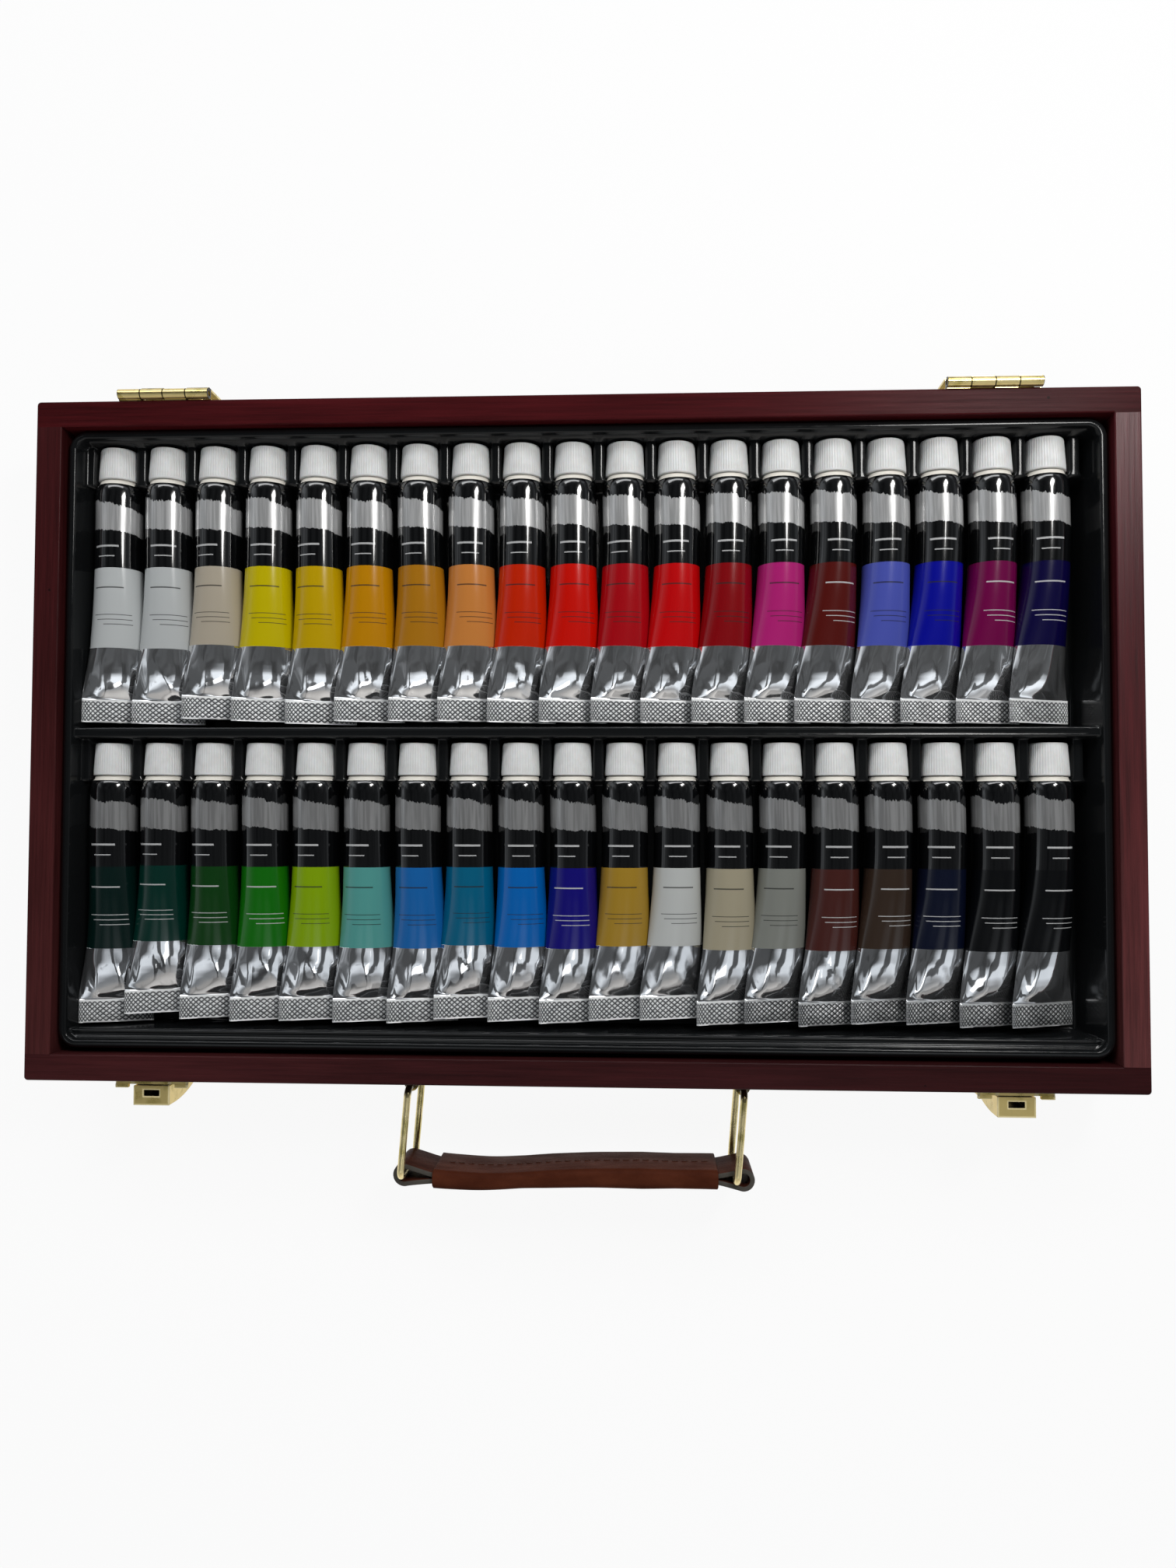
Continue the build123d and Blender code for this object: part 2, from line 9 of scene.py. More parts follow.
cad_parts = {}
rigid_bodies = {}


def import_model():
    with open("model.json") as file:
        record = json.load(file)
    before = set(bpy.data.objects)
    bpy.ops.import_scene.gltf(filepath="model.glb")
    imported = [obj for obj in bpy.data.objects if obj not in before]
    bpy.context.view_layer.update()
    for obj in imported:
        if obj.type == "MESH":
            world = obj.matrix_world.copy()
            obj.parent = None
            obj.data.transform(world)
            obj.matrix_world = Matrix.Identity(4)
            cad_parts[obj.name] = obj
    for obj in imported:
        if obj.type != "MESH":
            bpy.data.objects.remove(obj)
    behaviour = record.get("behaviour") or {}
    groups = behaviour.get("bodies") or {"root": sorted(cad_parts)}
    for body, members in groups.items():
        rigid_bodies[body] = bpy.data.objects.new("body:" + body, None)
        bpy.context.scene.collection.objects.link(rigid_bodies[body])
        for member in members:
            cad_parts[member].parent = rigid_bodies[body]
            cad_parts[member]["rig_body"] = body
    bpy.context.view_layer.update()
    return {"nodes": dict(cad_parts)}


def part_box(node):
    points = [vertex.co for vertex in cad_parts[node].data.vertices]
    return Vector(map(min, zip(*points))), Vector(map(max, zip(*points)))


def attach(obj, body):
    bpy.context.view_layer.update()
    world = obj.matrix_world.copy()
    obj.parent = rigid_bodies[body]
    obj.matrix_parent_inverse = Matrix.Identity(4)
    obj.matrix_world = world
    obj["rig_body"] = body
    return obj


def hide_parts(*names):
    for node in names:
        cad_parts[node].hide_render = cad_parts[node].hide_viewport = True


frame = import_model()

# The view is from straight above an open box on a table, from a little to the right of and in
# front of its middle, with the lens of a phone.
camera_place = (0.0216, -0.0304, 0.4302)
camera_turn = Vector([radians(angle) for angle in (1.982, 2.527, 0.102)])
camera = bpy.data.objects.new("camera", bpy.data.cameras.new("camera"))
bpy.context.scene.collection.objects.link(camera)
turned = Matrix.Rotation(camera_turn.length, 4, camera_turn)
camera.matrix_world = Matrix.Translation(camera_place) @ turned
camera.data.sensor_fit = "HORIZONTAL"
camera.data.sensor_width = 36
camera.data.lens = 33.33
camera.data.clip_start = 0.01
bpy.context.scene.camera = camera
bpy.context.scene.view_settings.view_transform = "Standard"


# The table is a plain white sheet that keeps the box's soft shadow. Its material and those of
# all the pieces are built from the same kinds of shader nodes.
def add_node(tree, kind, inputs=(), **settings):
    """Adds a node of that kind. inputs pairs each socket with a value or another node's output."""
    node = tree.nodes.new(kind)
    for name, value in settings.items():
        setattr(node, name, value)
    for socket, value in dict(inputs).items():
        if isinstance(value, bpy.types.NodeSocket):
            tree.links.new(value, node.inputs[socket])
        else:
            node.inputs[socket].default_value = value
    return node


def maths(tree, operation, first, second=0.0, third=0.0):
    """The output of a Math node."""
    inputs = {0: first, 1: second, 2: third}
    return add_node(tree, "ShaderNodeMath", inputs, operation=operation).outputs[0]


def times(tree, first, second):
    """The product of two values."""
    return maths(tree, "MULTIPLY", first, second)


def multiply_add(tree, value, factor, added):
    """The value times a factor, with another value added."""
    return maths(tree, "MULTIPLY_ADD", value, factor, added)


def mixed(tree, share, first, second):
    """The colour that a share from 0 to 1 picks between two colours."""
    inputs = {0: share, 6: first, 7: second}
    return add_node(tree, "ShaderNodeMix", inputs, data_type="RGBA").outputs[2]


def between(tree, value, low, high, new_low=0.0, new_high=1.0):
    """The value carried from one range to another, and held at the ends."""
    inputs = {0: value, 1: low, 2: high, 3: new_low, 4: new_high}
    return add_node(tree, "ShaderNodeMapRange", inputs).outputs[0]


def xyz(tree, vector):
    """The three parts of a vector."""
    return add_node(tree, "ShaderNodeSeparateXYZ", {0: vector}).outputs


def object_place(tree):
    """The shaded point in the object's own coordinates."""
    return add_node(tree, "ShaderNodeTexCoord").outputs["Object"]


def new_material(name, **principled):
    """A material with a Principled shader; each keyword is a socket name with _ for a space."""
    material = bpy.data.materials.new(name)
    material.use_nodes = True
    tree = material.node_tree
    shader = tree.nodes["Principled BSDF"]
    for socket, value in principled.items():
        shader.inputs[socket.replace("_", " ")].default_value = value
    return material, tree, shader


def new_mesh(name, points, faces, material, uv=None, close=False, smooth=True):
    """A mesh object from points and quads. close welds points that meet and turns faces out."""
    mesh = bpy.data.meshes.new(name)
    mesh.from_pydata(np.reshape(points, (-1, 3)).tolist(), [], np.asarray(faces).tolist())
    if uv is not None:
        corner = np.zeros(len(mesh.loops), np.int32)
        mesh.loops.foreach_get("vertex_index", corner)
        layer = mesh.uv_layers.new(name="surface")
        layer.data.foreach_set("uv", np.reshape(uv, (-1, 2))[corner].astype(np.float32).ravel())
    if close:
        shape = bmesh.new()
        shape.from_mesh(mesh)
        bmesh.ops.remove_doubles(shape, verts=shape.verts, dist=1e-6)
        bmesh.ops.dissolve_degenerate(shape, edges=shape.edges, dist=1e-7)
        bmesh.ops.recalc_face_normals(shape, faces=shape.faces)
        shape.to_mesh(mesh)
        shape.free()
    mesh.polygons.foreach_set("use_smooth", np.full(len(mesh.polygons), smooth))
    mesh.materials.append(material)
    piece = bpy.data.objects.new(name, mesh)
    bpy.context.scene.collection.objects.link(piece)
    return piece


table_half, table_z = 2.0, -0.0004
table_corners = [
    (x * table_half, y * table_half, table_z) for x, y in ((-1, -1), (1, -1), (1, 1), (-1, 1))
]
table_paint, tree, shader = new_material("table_paint", Roughness=0.9)
shader.inputs["Base Color"].default_value = (0.86, 0.86, 0.86, 1)
light_path = add_node(tree, "ShaderNodeLightPath").outputs
seen = maths(tree, "MAXIMUM", light_path["Is Camera Ray"], light_path["Is Glossy Ray"])
seen = maths(tree, "MAXIMUM", seen, light_path["Is Transmission Ray"])
glow = add_node(tree, "ShaderNodeEmission", {"Color": (1, 1, 1, 1), "Strength": 1.0})
glow_share = times(tree, seen, 0.92)
surfaces = {0: glow_share, 1: shader.outputs[0], 2: glow.outputs[0]}
both = add_node(tree, "ShaderNodeMixShader", surfaces).outputs[0]
tree.links.new(both, tree.nodes["Material Output"].inputs["Surface"])
table = new_mesh("table", table_corners, [(0, 1, 2, 3)], table_paint, smooth=False)


# The light is a small soft box close by at the back right, a wide bank low behind, and a window
# high in front. The room is dark overhead and paler low down and in front, in soft patches.
def soft_box(name, place, aim, width, depth, watts, colour):
    """A rectangular lamp that faces the point it aims at."""
    lamp = bpy.data.lights.new(name, "AREA")
    lamp.shape = "RECTANGLE"
    lamp.size, lamp.size_y = width, depth
    lamp.energy, lamp.color = watts, colour
    holder = bpy.data.objects.new(name, lamp)
    bpy.context.scene.collection.objects.link(holder)
    facing = (Vector(aim) - Vector(place)).to_track_quat("-Z", "Y")
    holder.matrix_world = Matrix.Translation(place) @ facing.to_matrix().to_4x4()


def noise(tree, where, scale, detail, roughness=0.5):
    """The value of a noise texture, from about 0.3 to 0.7."""
    inputs = {"Vector": where, "Scale": scale, "Detail": detail, "Roughness": roughness}
    return add_node(tree, "ShaderNodeTexNoise", inputs).outputs["Fac"]


box_middle, box_back = (0.0, 0.0, 0.03), (0.0, 0.05, 0.03)
soft_box("near_lamp", (0.31, 0.31, 0.54), box_back, 0.12, 0.20, 1.8, (1.0, 0.99, 0.97))
soft_box("back_bank", (-0.15, 1.10, 0.85), box_middle, 1.6, 0.35, 8.8, (0.98, 0.99, 1.0))
soft_box("front_window", (0.22, -0.66, 1.06), box_middle, 0.36, 0.16, 0.42, (0.98, 0.99, 1.0))

room = bpy.data.worlds.new("room")
room.use_nodes = True
bpy.context.scene.world = room
tree = room.node_tree
towards = add_node(tree, "ShaderNodeTexCoord").outputs["Generated"]
across, depth, height = xyz(tree, towards)
patches = noise(tree, towards, 3.2, 1.0)
walls = between(tree, height, 0.74, 0.42, 0.05, 0.52)
walls = times(tree, walls, between(tree, across, 0.50, 0.90, 1.0, 0.40))
walls = times(tree, walls, between(tree, patches, 0.45, 0.55, 0.5, 1.5))
# a row of panes with dark frames between them, low in front
frames = maths(tree, "SINE", multiply_add(tree, across, 13.0, times(tree, patches, 9.0)))
panes = between(tree, depth, -0.25, -0.38, 0.04, 0.88)
panes = times(tree, panes, between(tree, frames, -0.15, 0.10, 0.12, 1.35))
panes = times(tree, panes, between(tree, depth, -0.46, -0.58, 1.0, 0.24))
walls = maths(tree, "MAXIMUM", walls, panes)
window = times(tree, between(tree, depth, -0.50, -0.72), between(tree, height, 0.80, 0.66))
level = multiply_add(tree, window, 0.20, walls)
behind = add_node(tree, "ShaderNodeLightPath").outputs["Is Camera Ray"]
background = tree.nodes["Background"].inputs
tree.links.new(between(tree, behind, 0.0, 1.0, level, 1.0), background["Strength"])
tint = mixed(tree, window, (0.90, 0.95, 1.0, 1), (1.0, 0.97, 0.93, 1))
tree.links.new(mixed(tree, behind, tint, (1, 1, 1, 1)), background["Color"])


# The base is four boards, butted at the corners, stained like mahogany with a satin lacquer. The
# grain runs along each board. Each board's colour is also painted lighter or darker from one end
# to the other, and the right board paler, as painted light and shade. A plywood panel closes the
# underside.
def new_group(name, inputs, outputs):
    """An empty node group with these sockets, each a name and a kind."""
    group = bpy.data.node_groups.new(name, "ShaderNodeTree")
    for direction, sockets in (("INPUT", inputs), ("OUTPUT", outputs)):
        for socket, kind in sockets:
            group.interface.new_socket(socket, in_out=direction, socket_type="NodeSocket" + kind)
    given, out = group.nodes.new("NodeGroupInput"), group.nodes.new("NodeGroupOutput")
    return group, given.outputs, out.inputs


def minus(tree, value, taken):
    """A value with another taken from it."""
    return maths(tree, "SUBTRACT", value, taken)


def stretched(tree, where, scale, turn=0.0):
    """Coordinates that are scaled, and then turned about Z by turn degrees."""
    inputs = {"Vector": where, "Rotation": (0, 0, radians(turn)), "Scale": scale}
    return add_node(tree, "ShaderNodeMapping", inputs).outputs[0]


def stretched_noise(tree, where, scale, detail, roughness=0.5, turn=0.0):
    """A noise drawn on scaled coordinates, so a larger scale along an axis makes finer spots."""
    return noise(tree, stretched(tree, where, scale, turn), 1.0, detail, roughness)


def add_bump(tree, shader, height, distance, strength):
    """Raises the shaded surface by a height from 0 to 1, at most by a distance."""
    inputs = {"Height": height, "Distance": distance, "Strength": strength}
    tree.links.new(add_node(tree, "ShaderNodeBump", inputs).outputs[0], shader.inputs["Normal"])


grain, given, out = new_group(
    "stained_grain",
    [("Along X", "Vector"), ("Stain And Shade", "Color")],
    [("Color", "Color"), ("Roughness", "Float"), ("Height", "Float")],
)
tree = grain
fibre = stretched_noise(tree, given["Along X"], (26, 820, 820), 5.0, 0.7)
figure = stretched_noise(tree, given["Along X"], (5, 95, 95), 3.0)
patch = stretched_noise(tree, given["Along X"], (9, 14, 14), 2.0)
tone = multiply_add(tree, between(tree, fibre, 0.34, 0.66), 0.60, 0.38)
tone = multiply_add(tree, between(tree, figure, 0.35, 0.65), 0.34, tone)
tone = multiply_add(tree, between(tree, patch, 0.36, 0.64), 0.30, tone)
toned = {0: given["Stain And Shade"], 3: tone}
wood_colour = add_node(tree, "ShaderNodeVectorMath", toned, operation="SCALE").outputs[0]
# a dark speck in about one cell of seven
cell_inputs = {"Vector": given["Along X"], "Scale": 130.0}
cells = add_node(tree, "ShaderNodeTexVoronoi", cell_inputs).outputs
cell_value = add_node(tree, "ShaderNodeSeparateColor", {0: cells["Color"]}).outputs[0]
in_middle = maths(tree, "LESS_THAN", cells["Distance"], 0.07)
speck = times(tree, in_middle, maths(tree, "GREATER_THAN", cell_value, 0.86))
speckled = mixed(tree, times(tree, speck, 0.7), wood_colour, (0.008, 0.003, 0.003, 1))
tree.links.new(speckled, out["Color"])
tree.links.new(between(tree, fibre, 0.3, 0.7, 0.38, 0.29), out["Roughness"])
tree.links.new(minus(tree, fibre, speck), out["Height"])


def wood_material(name, turn, gloss, first_stain_and_shade, last_stain_and_shade, axis, first, last):
    """Stained wood whose grain runs along X, turned about Z by turn degrees.

    The colour, a stain with painted light and shade on it, changes evenly from one colour to
    another between two places on an axis."""
    material, tree, shader = new_material(name, Specular_IOR_Level=gloss)
    where = object_place(tree)
    along = stretched(tree, where, (1, 1, 1), turn)
    place = xyz(tree, where)[axis]
    stain = mixed(tree, between(tree, place, first, last), (*first_stain_and_shade, 1), (*last_stain_and_shade, 1))
    sockets = {"Along X": along, "Stain And Shade": stain}
    wood = add_node(tree, "ShaderNodeGroup", sockets, node_tree=grain).outputs
    tree.links.new(wood["Color"], shader.inputs["Base Color"])
    tree.links.new(wood["Roughness"], shader.inputs["Roughness"])
    add_bump(tree, shader, wood["Height"], 0.00012, 0.5)
    return material


nodes = frame["nodes"]


def finish_node(name, material):
    """Gives a CAD piece its material."""
    nodes[name].data.materials.clear()
    nodes[name].data.materials.append(material)


back_stain_and_shade = (0.0575, 0.0060, 0.0075), (0.0420, 0.0046, 0.0060)
front_stain_and_shade = (0.0450, 0.0100, 0.0108), (0.0245, 0.0050, 0.0056)
left_stain_and_shade = (0.0435, 0.0074, 0.0082), (0.0580, 0.0146, 0.0146)
right_stain_and_shade = (0.0570, 0.0070, 0.0098), (0.0980, 0.0262, 0.0262)
panel_stain = (0.12, 0.045, 0.030)
for name, turn, gloss, stains, axis, first, last in (
    # the colour, a stain with painted light and shade, changes along axis 0, X, or 1, Y, from the
    # first place to the last
    ("back_board", 0, 0.05, back_stain_and_shade, 0, -0.15, 0.17),
    ("front_board", 0, 0.10, front_stain_and_shade, 0, -0.15, 0.17),
    ("left_board", 90, 0.10, left_stain_and_shade, 1, 0.06, -0.11),
    ("right_board", 90, 0.30, right_stain_and_shade, 1, 0.06, -0.11),
    ("base_panel", 0, 0.30, (panel_stain, panel_stain), 0, -0.2, 0.2),
):
    finish_node(name, wood_material(name + "_wood", turn, gloss, *stains, axis, first, last))


# The tray is formed from one glossy black sheet. A flat band runs round its rounded rim, a ledge
# lies a step lower, and two pans hold the tubes, with a hollow rib between each two caps.
def grid_faces(rows, columns):
    """The quads of a grid whose points run along each row."""
    corner = (np.arange(rows - 1)[:, None] * columns + np.arange(columns - 1)).ravel()
    return np.stack([corner, corner + 1, corner + columns + 1, corner + columns], 1)


def step(value, low, high):
    """0 below low, 1 above high, and a smooth rise between them."""
    share = np.clip((value - low) / (high - low), 0, 1)
    return share * share * (3 - 2 * share)


def soft_maximum(first, second, width):
    """The larger of two heights, with the corner between them rounded over that width."""
    overlap = np.clip(0.5 + 0.5 * (first - second) / width, 0, 1)
    return second + (first - second) * overlap + width * overlap * (1 - overlap)


# sizes and places are in mm: x and y from the box's middle, and z from its underside
mm = 0.001
tubes_in_row, tube_pitch, first_tube_x = 19, 19.3, -175.7
row_cap_ends, row_shift = (110.1, -1.5), 111.6
pan_floor = 17.95
ledge_z, tray_z, tray_foot_z = 34.8, 37.0, 4.2
tray_half_x, tray_low_y, tray_high_y = 190.7, -113.9, 115.2
rim_corner, edge_radius = 7.2, 2.0
divider_y, divider_half = 2.3, 2.3
rib_top, rib_half, rib_flare = 29.75, 2.0, 2.9

# the rim's section: distance out from the corner's centre, and height, up to its flat top and on
arc = np.radians([18, 36, 54, 72, 90])
arc_out = rim_corner - edge_radius + edge_radius * np.sin(arc)
arc_up = tray_z - edge_radius + edge_radius * np.cos(arc)
rim_out = [
    0, .15, .4, .7, 1.2, 1.9, 2.5, 2.85, 3.0, 3.3, 3.6, 3.8, 4.0, 4.25, 4.6, 5.2,
    *arc_out, 7.2, 7.2, 7.25, 7.25,
]
rim_up = [
    *[pan_floor] * 8, 19.5, 25.5, 31.5, 34.9, 36.3, 36.85, tray_z, tray_z,
    *arc_up, 33, 22, 10, tray_foot_z,
]
rim_inner = 16
rim_along = np.concatenate([[0], np.cumsum(np.hypot(np.diff(rim_out), np.diff(rim_up)))])
rim_lines = len(rim_out) - 1

# the grid's lines between the corner centres, closer together where the sheet bends
rib_xs = first_tube_x + (np.arange(1, tubes_in_row + 1) - 0.5) * tube_pitch
rib_shares = [-1.45, -1.22, -1.08, -0.96, -0.8, -0.45, 0, 0.45, 0.8, 0.96, 1.08, 1.22, 1.45]
line_x, line_share = [-182.6, -179.5], [0.0, 0.0]
for rib_x in rib_xs:
    line_x += [rib_x - 0.5 * tube_pitch] + [rib_x] * len(rib_shares)
    line_share += [0.0] + rib_shares
pan_lines = np.array([
    12.0, 22, 34, 48, 62, 76, 86, 93, 94.6, 95.2, 95.7, 96.2, 96.8, 97.6, 98.6, 100, 102, 104.5,
    107,
])
divider_lines = [
    -4.0, -1.6, -0.9, -0.4, -0.1, 0.25, 0.7, 1.3, 2.3, 3.3, 3.9, 4.35, 4.7, 5.1, 5.6, 7.0,
]
line_y = np.concatenate([[-106.2, -105.6], pan_lines[:-1] - row_shift, divider_lines, pan_lines])


def grid_lines(inner, low, high):
    """Each line's place, how far it is out along the rim's section, and its side: -1, 0 or 1."""
    out = rim_along[1:]
    place = np.concatenate([np.full(rim_lines, low), inner, np.full(rim_lines, high)])
    along = np.concatenate([out[::-1], np.zeros(len(inner)), out])
    side = np.repeat([-1, 0, 1], [rim_lines, len(inner), rim_lines])
    return place, along, side


corner_x = tray_half_x - rim_corner
place_x, along_x, side_x = grid_lines(line_x, -corner_x, corner_x)
place_y, along_y, side_y = grid_lines(line_y, tray_low_y + rim_corner, tray_high_y - rim_corner)
share_x = np.concatenate([np.zeros(rim_lines), line_share, np.zeros(rim_lines)])
along_x, along_y = np.meshgrid(along_x, along_y)
# from a square corner to a round one: the larger coordinate sets how far out a point is
out_along = np.maximum(along_x, along_y)
spread = np.maximum(np.hypot(along_x, along_y), 1e-9)
out_by = np.interp(out_along, rim_along, rim_out)
tray_y = place_y[:, None] + side_y[:, None] * out_by * along_y / spread
# the ribs widen towards their front end, and the last one ends short of the rim
row_distance = np.where(tray_y > 0, tray_y, tray_y + row_shift)
rib_width = rib_half + (rib_flare - rib_half) * step(row_distance, 97.9, 96.4)
tray_x = place_x + share_x * rib_width + side_x * out_by * along_x / spread
tray_x = np.minimum(tray_x, np.where(side_x > 0, np.inf, corner_x - 0.02))
tray_up = np.interp(out_along, rim_along, rim_up)

# the heights that rise from the pans' floor, each over a smooth step at its edges
rib_number = np.clip(np.round((tray_x - rib_xs[0]) / tube_pitch), 0, tubes_in_row - 1)
off_rib = np.abs(tray_x - rib_xs[0] - rib_number * tube_pitch) / rib_width
rib_shape = 1 - 0.05 * step(off_rib, 0.62, 0.95) - 0.95 * step(off_rib, 0.92, 1.42)
rib_reach = step(row_distance, 95.3, 96.1)
between_sides = np.abs(tray_x) < 187.0
ribs = pan_floor + (rib_top - pan_floor) * rib_shape * rib_reach * between_sides
stop_height = rib_top + 1.0 - pan_floor
left_stop = pan_floor + stop_height * rib_reach * step(-tray_x, 182.6, 183.6)
side_slope = pan_floor + 18.2 * np.clip((np.abs(tray_x) - 183.2) / 4.2, 0, 1)
wave = 0.35 * np.cos(2 * pi * (tray_x - first_tube_x) / tube_pitch)
ledge_height = ledge_z - pan_floor
back_ledge = pan_floor + (ledge_height + wave) * step(tray_y, 110.7, 111.3)
off_divider = np.abs(tray_y - divider_y)
divider = pan_floor + ledge_height * step(-off_divider, -divider_half - 0.25, -divider_half + 0.45)
divider -= 0.5 * step(-off_divider, -0.9, -0.2) * step(-np.abs(tray_x), -183.5, -182)
front_ledge = pan_floor + ledge_height * step(-tray_y, 106.6, 107.3)
front_ledge -= 0.6 * step(-tray_y, 107.9, 108.4) * step(tray_y, -110.0, -109.4)
rim_top_out = 4.3
inside = out_along < np.interp(rim_top_out, rim_out[:rim_inner], rim_along[:rim_inner])
for height in (ribs, left_stop, side_slope, back_ledge, divider, front_ledge):
    tray_up = np.where(inside, soft_maximum(tray_up, height, 0.25), tray_up)

tray_points = np.stack([tray_x, tray_y, tray_up], 2) * mm
tray_plastic, tree, shader = new_material("tray_plastic", Roughness=0.2, Specular_IOR_Level=0.28)
shader.inputs["Base Color"].default_value = (0.0065, 0.0071, 0.0076, 1)
where = object_place(tree)
haze = noise(tree, where, 60.0, 5.0, 0.7)
rub = stretched_noise(tree, where, (900, 40, 200), 2.0)
haze = multiply_add(tree, rub, 0.3, haze)
tree.links.new(between(tree, haze, 0.45, 0.9, 0.08, 0.24), shader.inputs["Roughness"])
add_bump(tree, shader, noise(tree, where, 95.0, 2.0), 0.0005, 0.22)
tray = new_mesh("formed_tray", tray_points, grid_faces(*tray_x.shape), tray_plastic, close=True)
wall = tray.modifiers.new("wall", "SOLIDIFY")
wall.thickness = 0.0006
wall.offset = -1
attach(tray, "tray")
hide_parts("paint_tray")


# Each paint tube is soft aluminium: a threaded neck on a pale collar, a round lacquered body, and
# a bare foil tail that flattens to a folded, cross-hatched crimp. A silver brushstroke crosses
# the black lacquer above the colour band.
def from_screen(red, green, blue):
    """A colour as a screen shows it, 0 to 255, made linear."""
    channels = (red, green, blue)
    return (*(((c / 255 + 0.055) / 1.055) ** 2.4 if c > 10 else c / 3295 for c in channels), 1)


# the tube's length and girth, and places down it from the cap's end, in mm
tube_length, tube_girth = 104.0, 51.8
collar_end, brush_start, brush_end, colour_start, foil_start = 13.9, 20.9, 31.6, 46.0, 76.0
crimp_start, crimp_end = 95.2, 103.3
# how steeply the crimp's ridges slant, and how close together they lie
hatch_slope, hatch_pace = 1.25, 1.75

tube_print, given, out = new_group(
    "tube_print",
    [
        ("Surface", "Vector"), ("Shift", "Float"), ("Brush", "Color"), ("Paint", "Color"),
        ("Lines", "Color"), ("Gloss", "Float"), ("Matt Crimp", "Float"), ("Dull Foil", "Float"),
    ],
    [
        ("Color", "Color"), ("Metallic", "Float"), ("Roughness", "Float"), ("Coat", "Float"),
        ("Height", "Float"),
    ],
)
tree = tube_print
surface = xyz(tree, given["Surface"])
around = multiply_add(tree, surface[0], tube_girth, -tube_girth / 2)
down = times(tree, surface[1], tube_length)
shifted = maths(tree, "ADD", around, given["Shift"])
flat = add_node(tree, "ShaderNodeCombineXYZ", {0: around, 1: down, 2: given["Shift"]}).outputs[0]


def past(tree, line):
    """1 where the surface is further down the tube than a line."""
    return maths(tree, "GREATER_THAN", down, line)


def near(tree, value, middle, half):
    """1 where a value is within half of a middle value."""
    return maths(tree, "LESS_THAN", maths(tree, "ABSOLUTE", minus(tree, value, middle)), half)


def ruled(tree, lines):
    """How many short lines a point is on, from each one's place down, half height, middle and
    half width."""
    total = 0.0
    for down_at, half_height, middle, half_width in lines:
        in_line = near(tree, shifted, middle, half_width)
        line = times(tree, near(tree, down, down_at, half_height), in_line)
        total = maths(tree, "ADD", total, line)
    return total


# the brushstroke's torn and bristly edges, and a few short plain rules across the lacquer
torn = stretched_noise(tree, flat, (0.16, 0.03, 1.0), 1.0)
bristle = stretched_noise(tree, flat, (1.3, 0.5, 1.0), 4.0, 0.75, turn=-35)
ragged = multiply_add(tree, torn, 4.0, multiply_add(tree, bristle, 3.4, -3.7))
ragged = multiply_add(tree, shifted, -0.16, ragged)
below_start = maths(tree, "GREATER_THAN", minus(tree, down, ragged), brush_start)
above_end = maths(tree, "LESS_THAN", multiply_add(tree, ragged, -0.6, down), brush_end)
brush = times(tree, below_start, above_end)
rules = ruled(tree, (
    (53.4, 0.26, 0.0, 5.4), (63.6, 0.14, -0.6, 6.4), (65.4, 0.14, -1.2, 5.8),
    (67.2, 0.14, -2.4, 4.6),
))
pale_rules = ruled(tree, ((37.8, 0.36, 0.0, 4.8), (41.6, 0.2, 0.0, 3.2)))

in_black, in_colour = past(tree, collar_end), past(tree, colour_start)
in_foil, in_crimp = past(tree, foil_start), past(tree, crimp_start)
above_crimp_end = maths(tree, "LESS_THAN", down, crimp_end)
pressed = times(tree, past(tree, crimp_start + 0.7), above_crimp_end)
# slanting ridges with sunk lines between them, crossed by shallower ones the other way
hatch = 1.0
for slope, shallow in ((hatch_slope, 0.0), (-hatch_slope, 0.20)):
    slant = times(tree, multiply_add(tree, around, slope, down), hatch_pace)
    ridge = maths(tree, "ABSOLUTE", maths(tree, "SINE", slant))
    hatch = maths(tree, "MINIMUM", hatch, maths(tree, "MAXIMUM", ridge, shallow))
hatch = times(tree, hatch, pressed)

# the foil's colour: tarnished, and painted darker grey in the front row as painted shade, with
# painted highlights on the crimp's ridge crests and top edge, and painted shade in its sunk lines
# and in random patches
tarnish = stretched_noise(tree, flat, (0.12, 0.07, 1.0), 3.0)
tarnish = between(tree, tarnish, 0.35, 0.65)
foil_colour = mixed(tree, tarnish, (0.70, 0.71, 0.72, 1), (0.84, 0.84, 0.85, 1))
# painted shade: the bare foil above the crimp is painted darker grey, by the foil shade input
painted_foil_shade = times(tree, minus(tree, 1.0, in_crimp), given["Dull Foil"])
foil_colour = mixed(tree, painted_foil_shade, foil_colour, (0.25, 0.26, 0.28, 1))
# painted shade: random patches of the crimp painted dark grey, so that the rest reads as glinting
glint = stretched_noise(tree, flat, (0.5, 0.9, 1.0), 2.0)
shade = times(tree, pressed, between(tree, glint, 0.44, 0.56, 0.60, 0.0))
foil_colour = mixed(tree, shade, foil_colour, (0.28, 0.285, 0.29, 1))
# painted highlight: the crests of the crimp's ridges painted near white
crest_highlight = times(tree, pressed, between(tree, hatch, 0.70, 0.94, 0.0, 0.85))
foil_colour = mixed(tree, crest_highlight, foil_colour, (0.97, 0.97, 0.97, 1))
# painted shade: the sunk lines between the ridges painted near black
sunk_line_shade = times(tree, minus(tree, 1.0, hatch), pressed)
sunk_line_shade = between(tree, sunk_line_shade, 0.36, 0.80)
foil_colour = mixed(tree, sunk_line_shade, foil_colour, (0.02, 0.022, 0.025, 1))
# painted highlight: a near-white line along the crimp's top edge, where the foil is folded over
fold_line_highlight = times(tree, past(tree, crimp_start - 0.1), minus(tree, 1.0, pressed))
foil_colour = mixed(tree, fold_line_highlight, foil_colour, (0.95, 0.95, 0.95, 1))

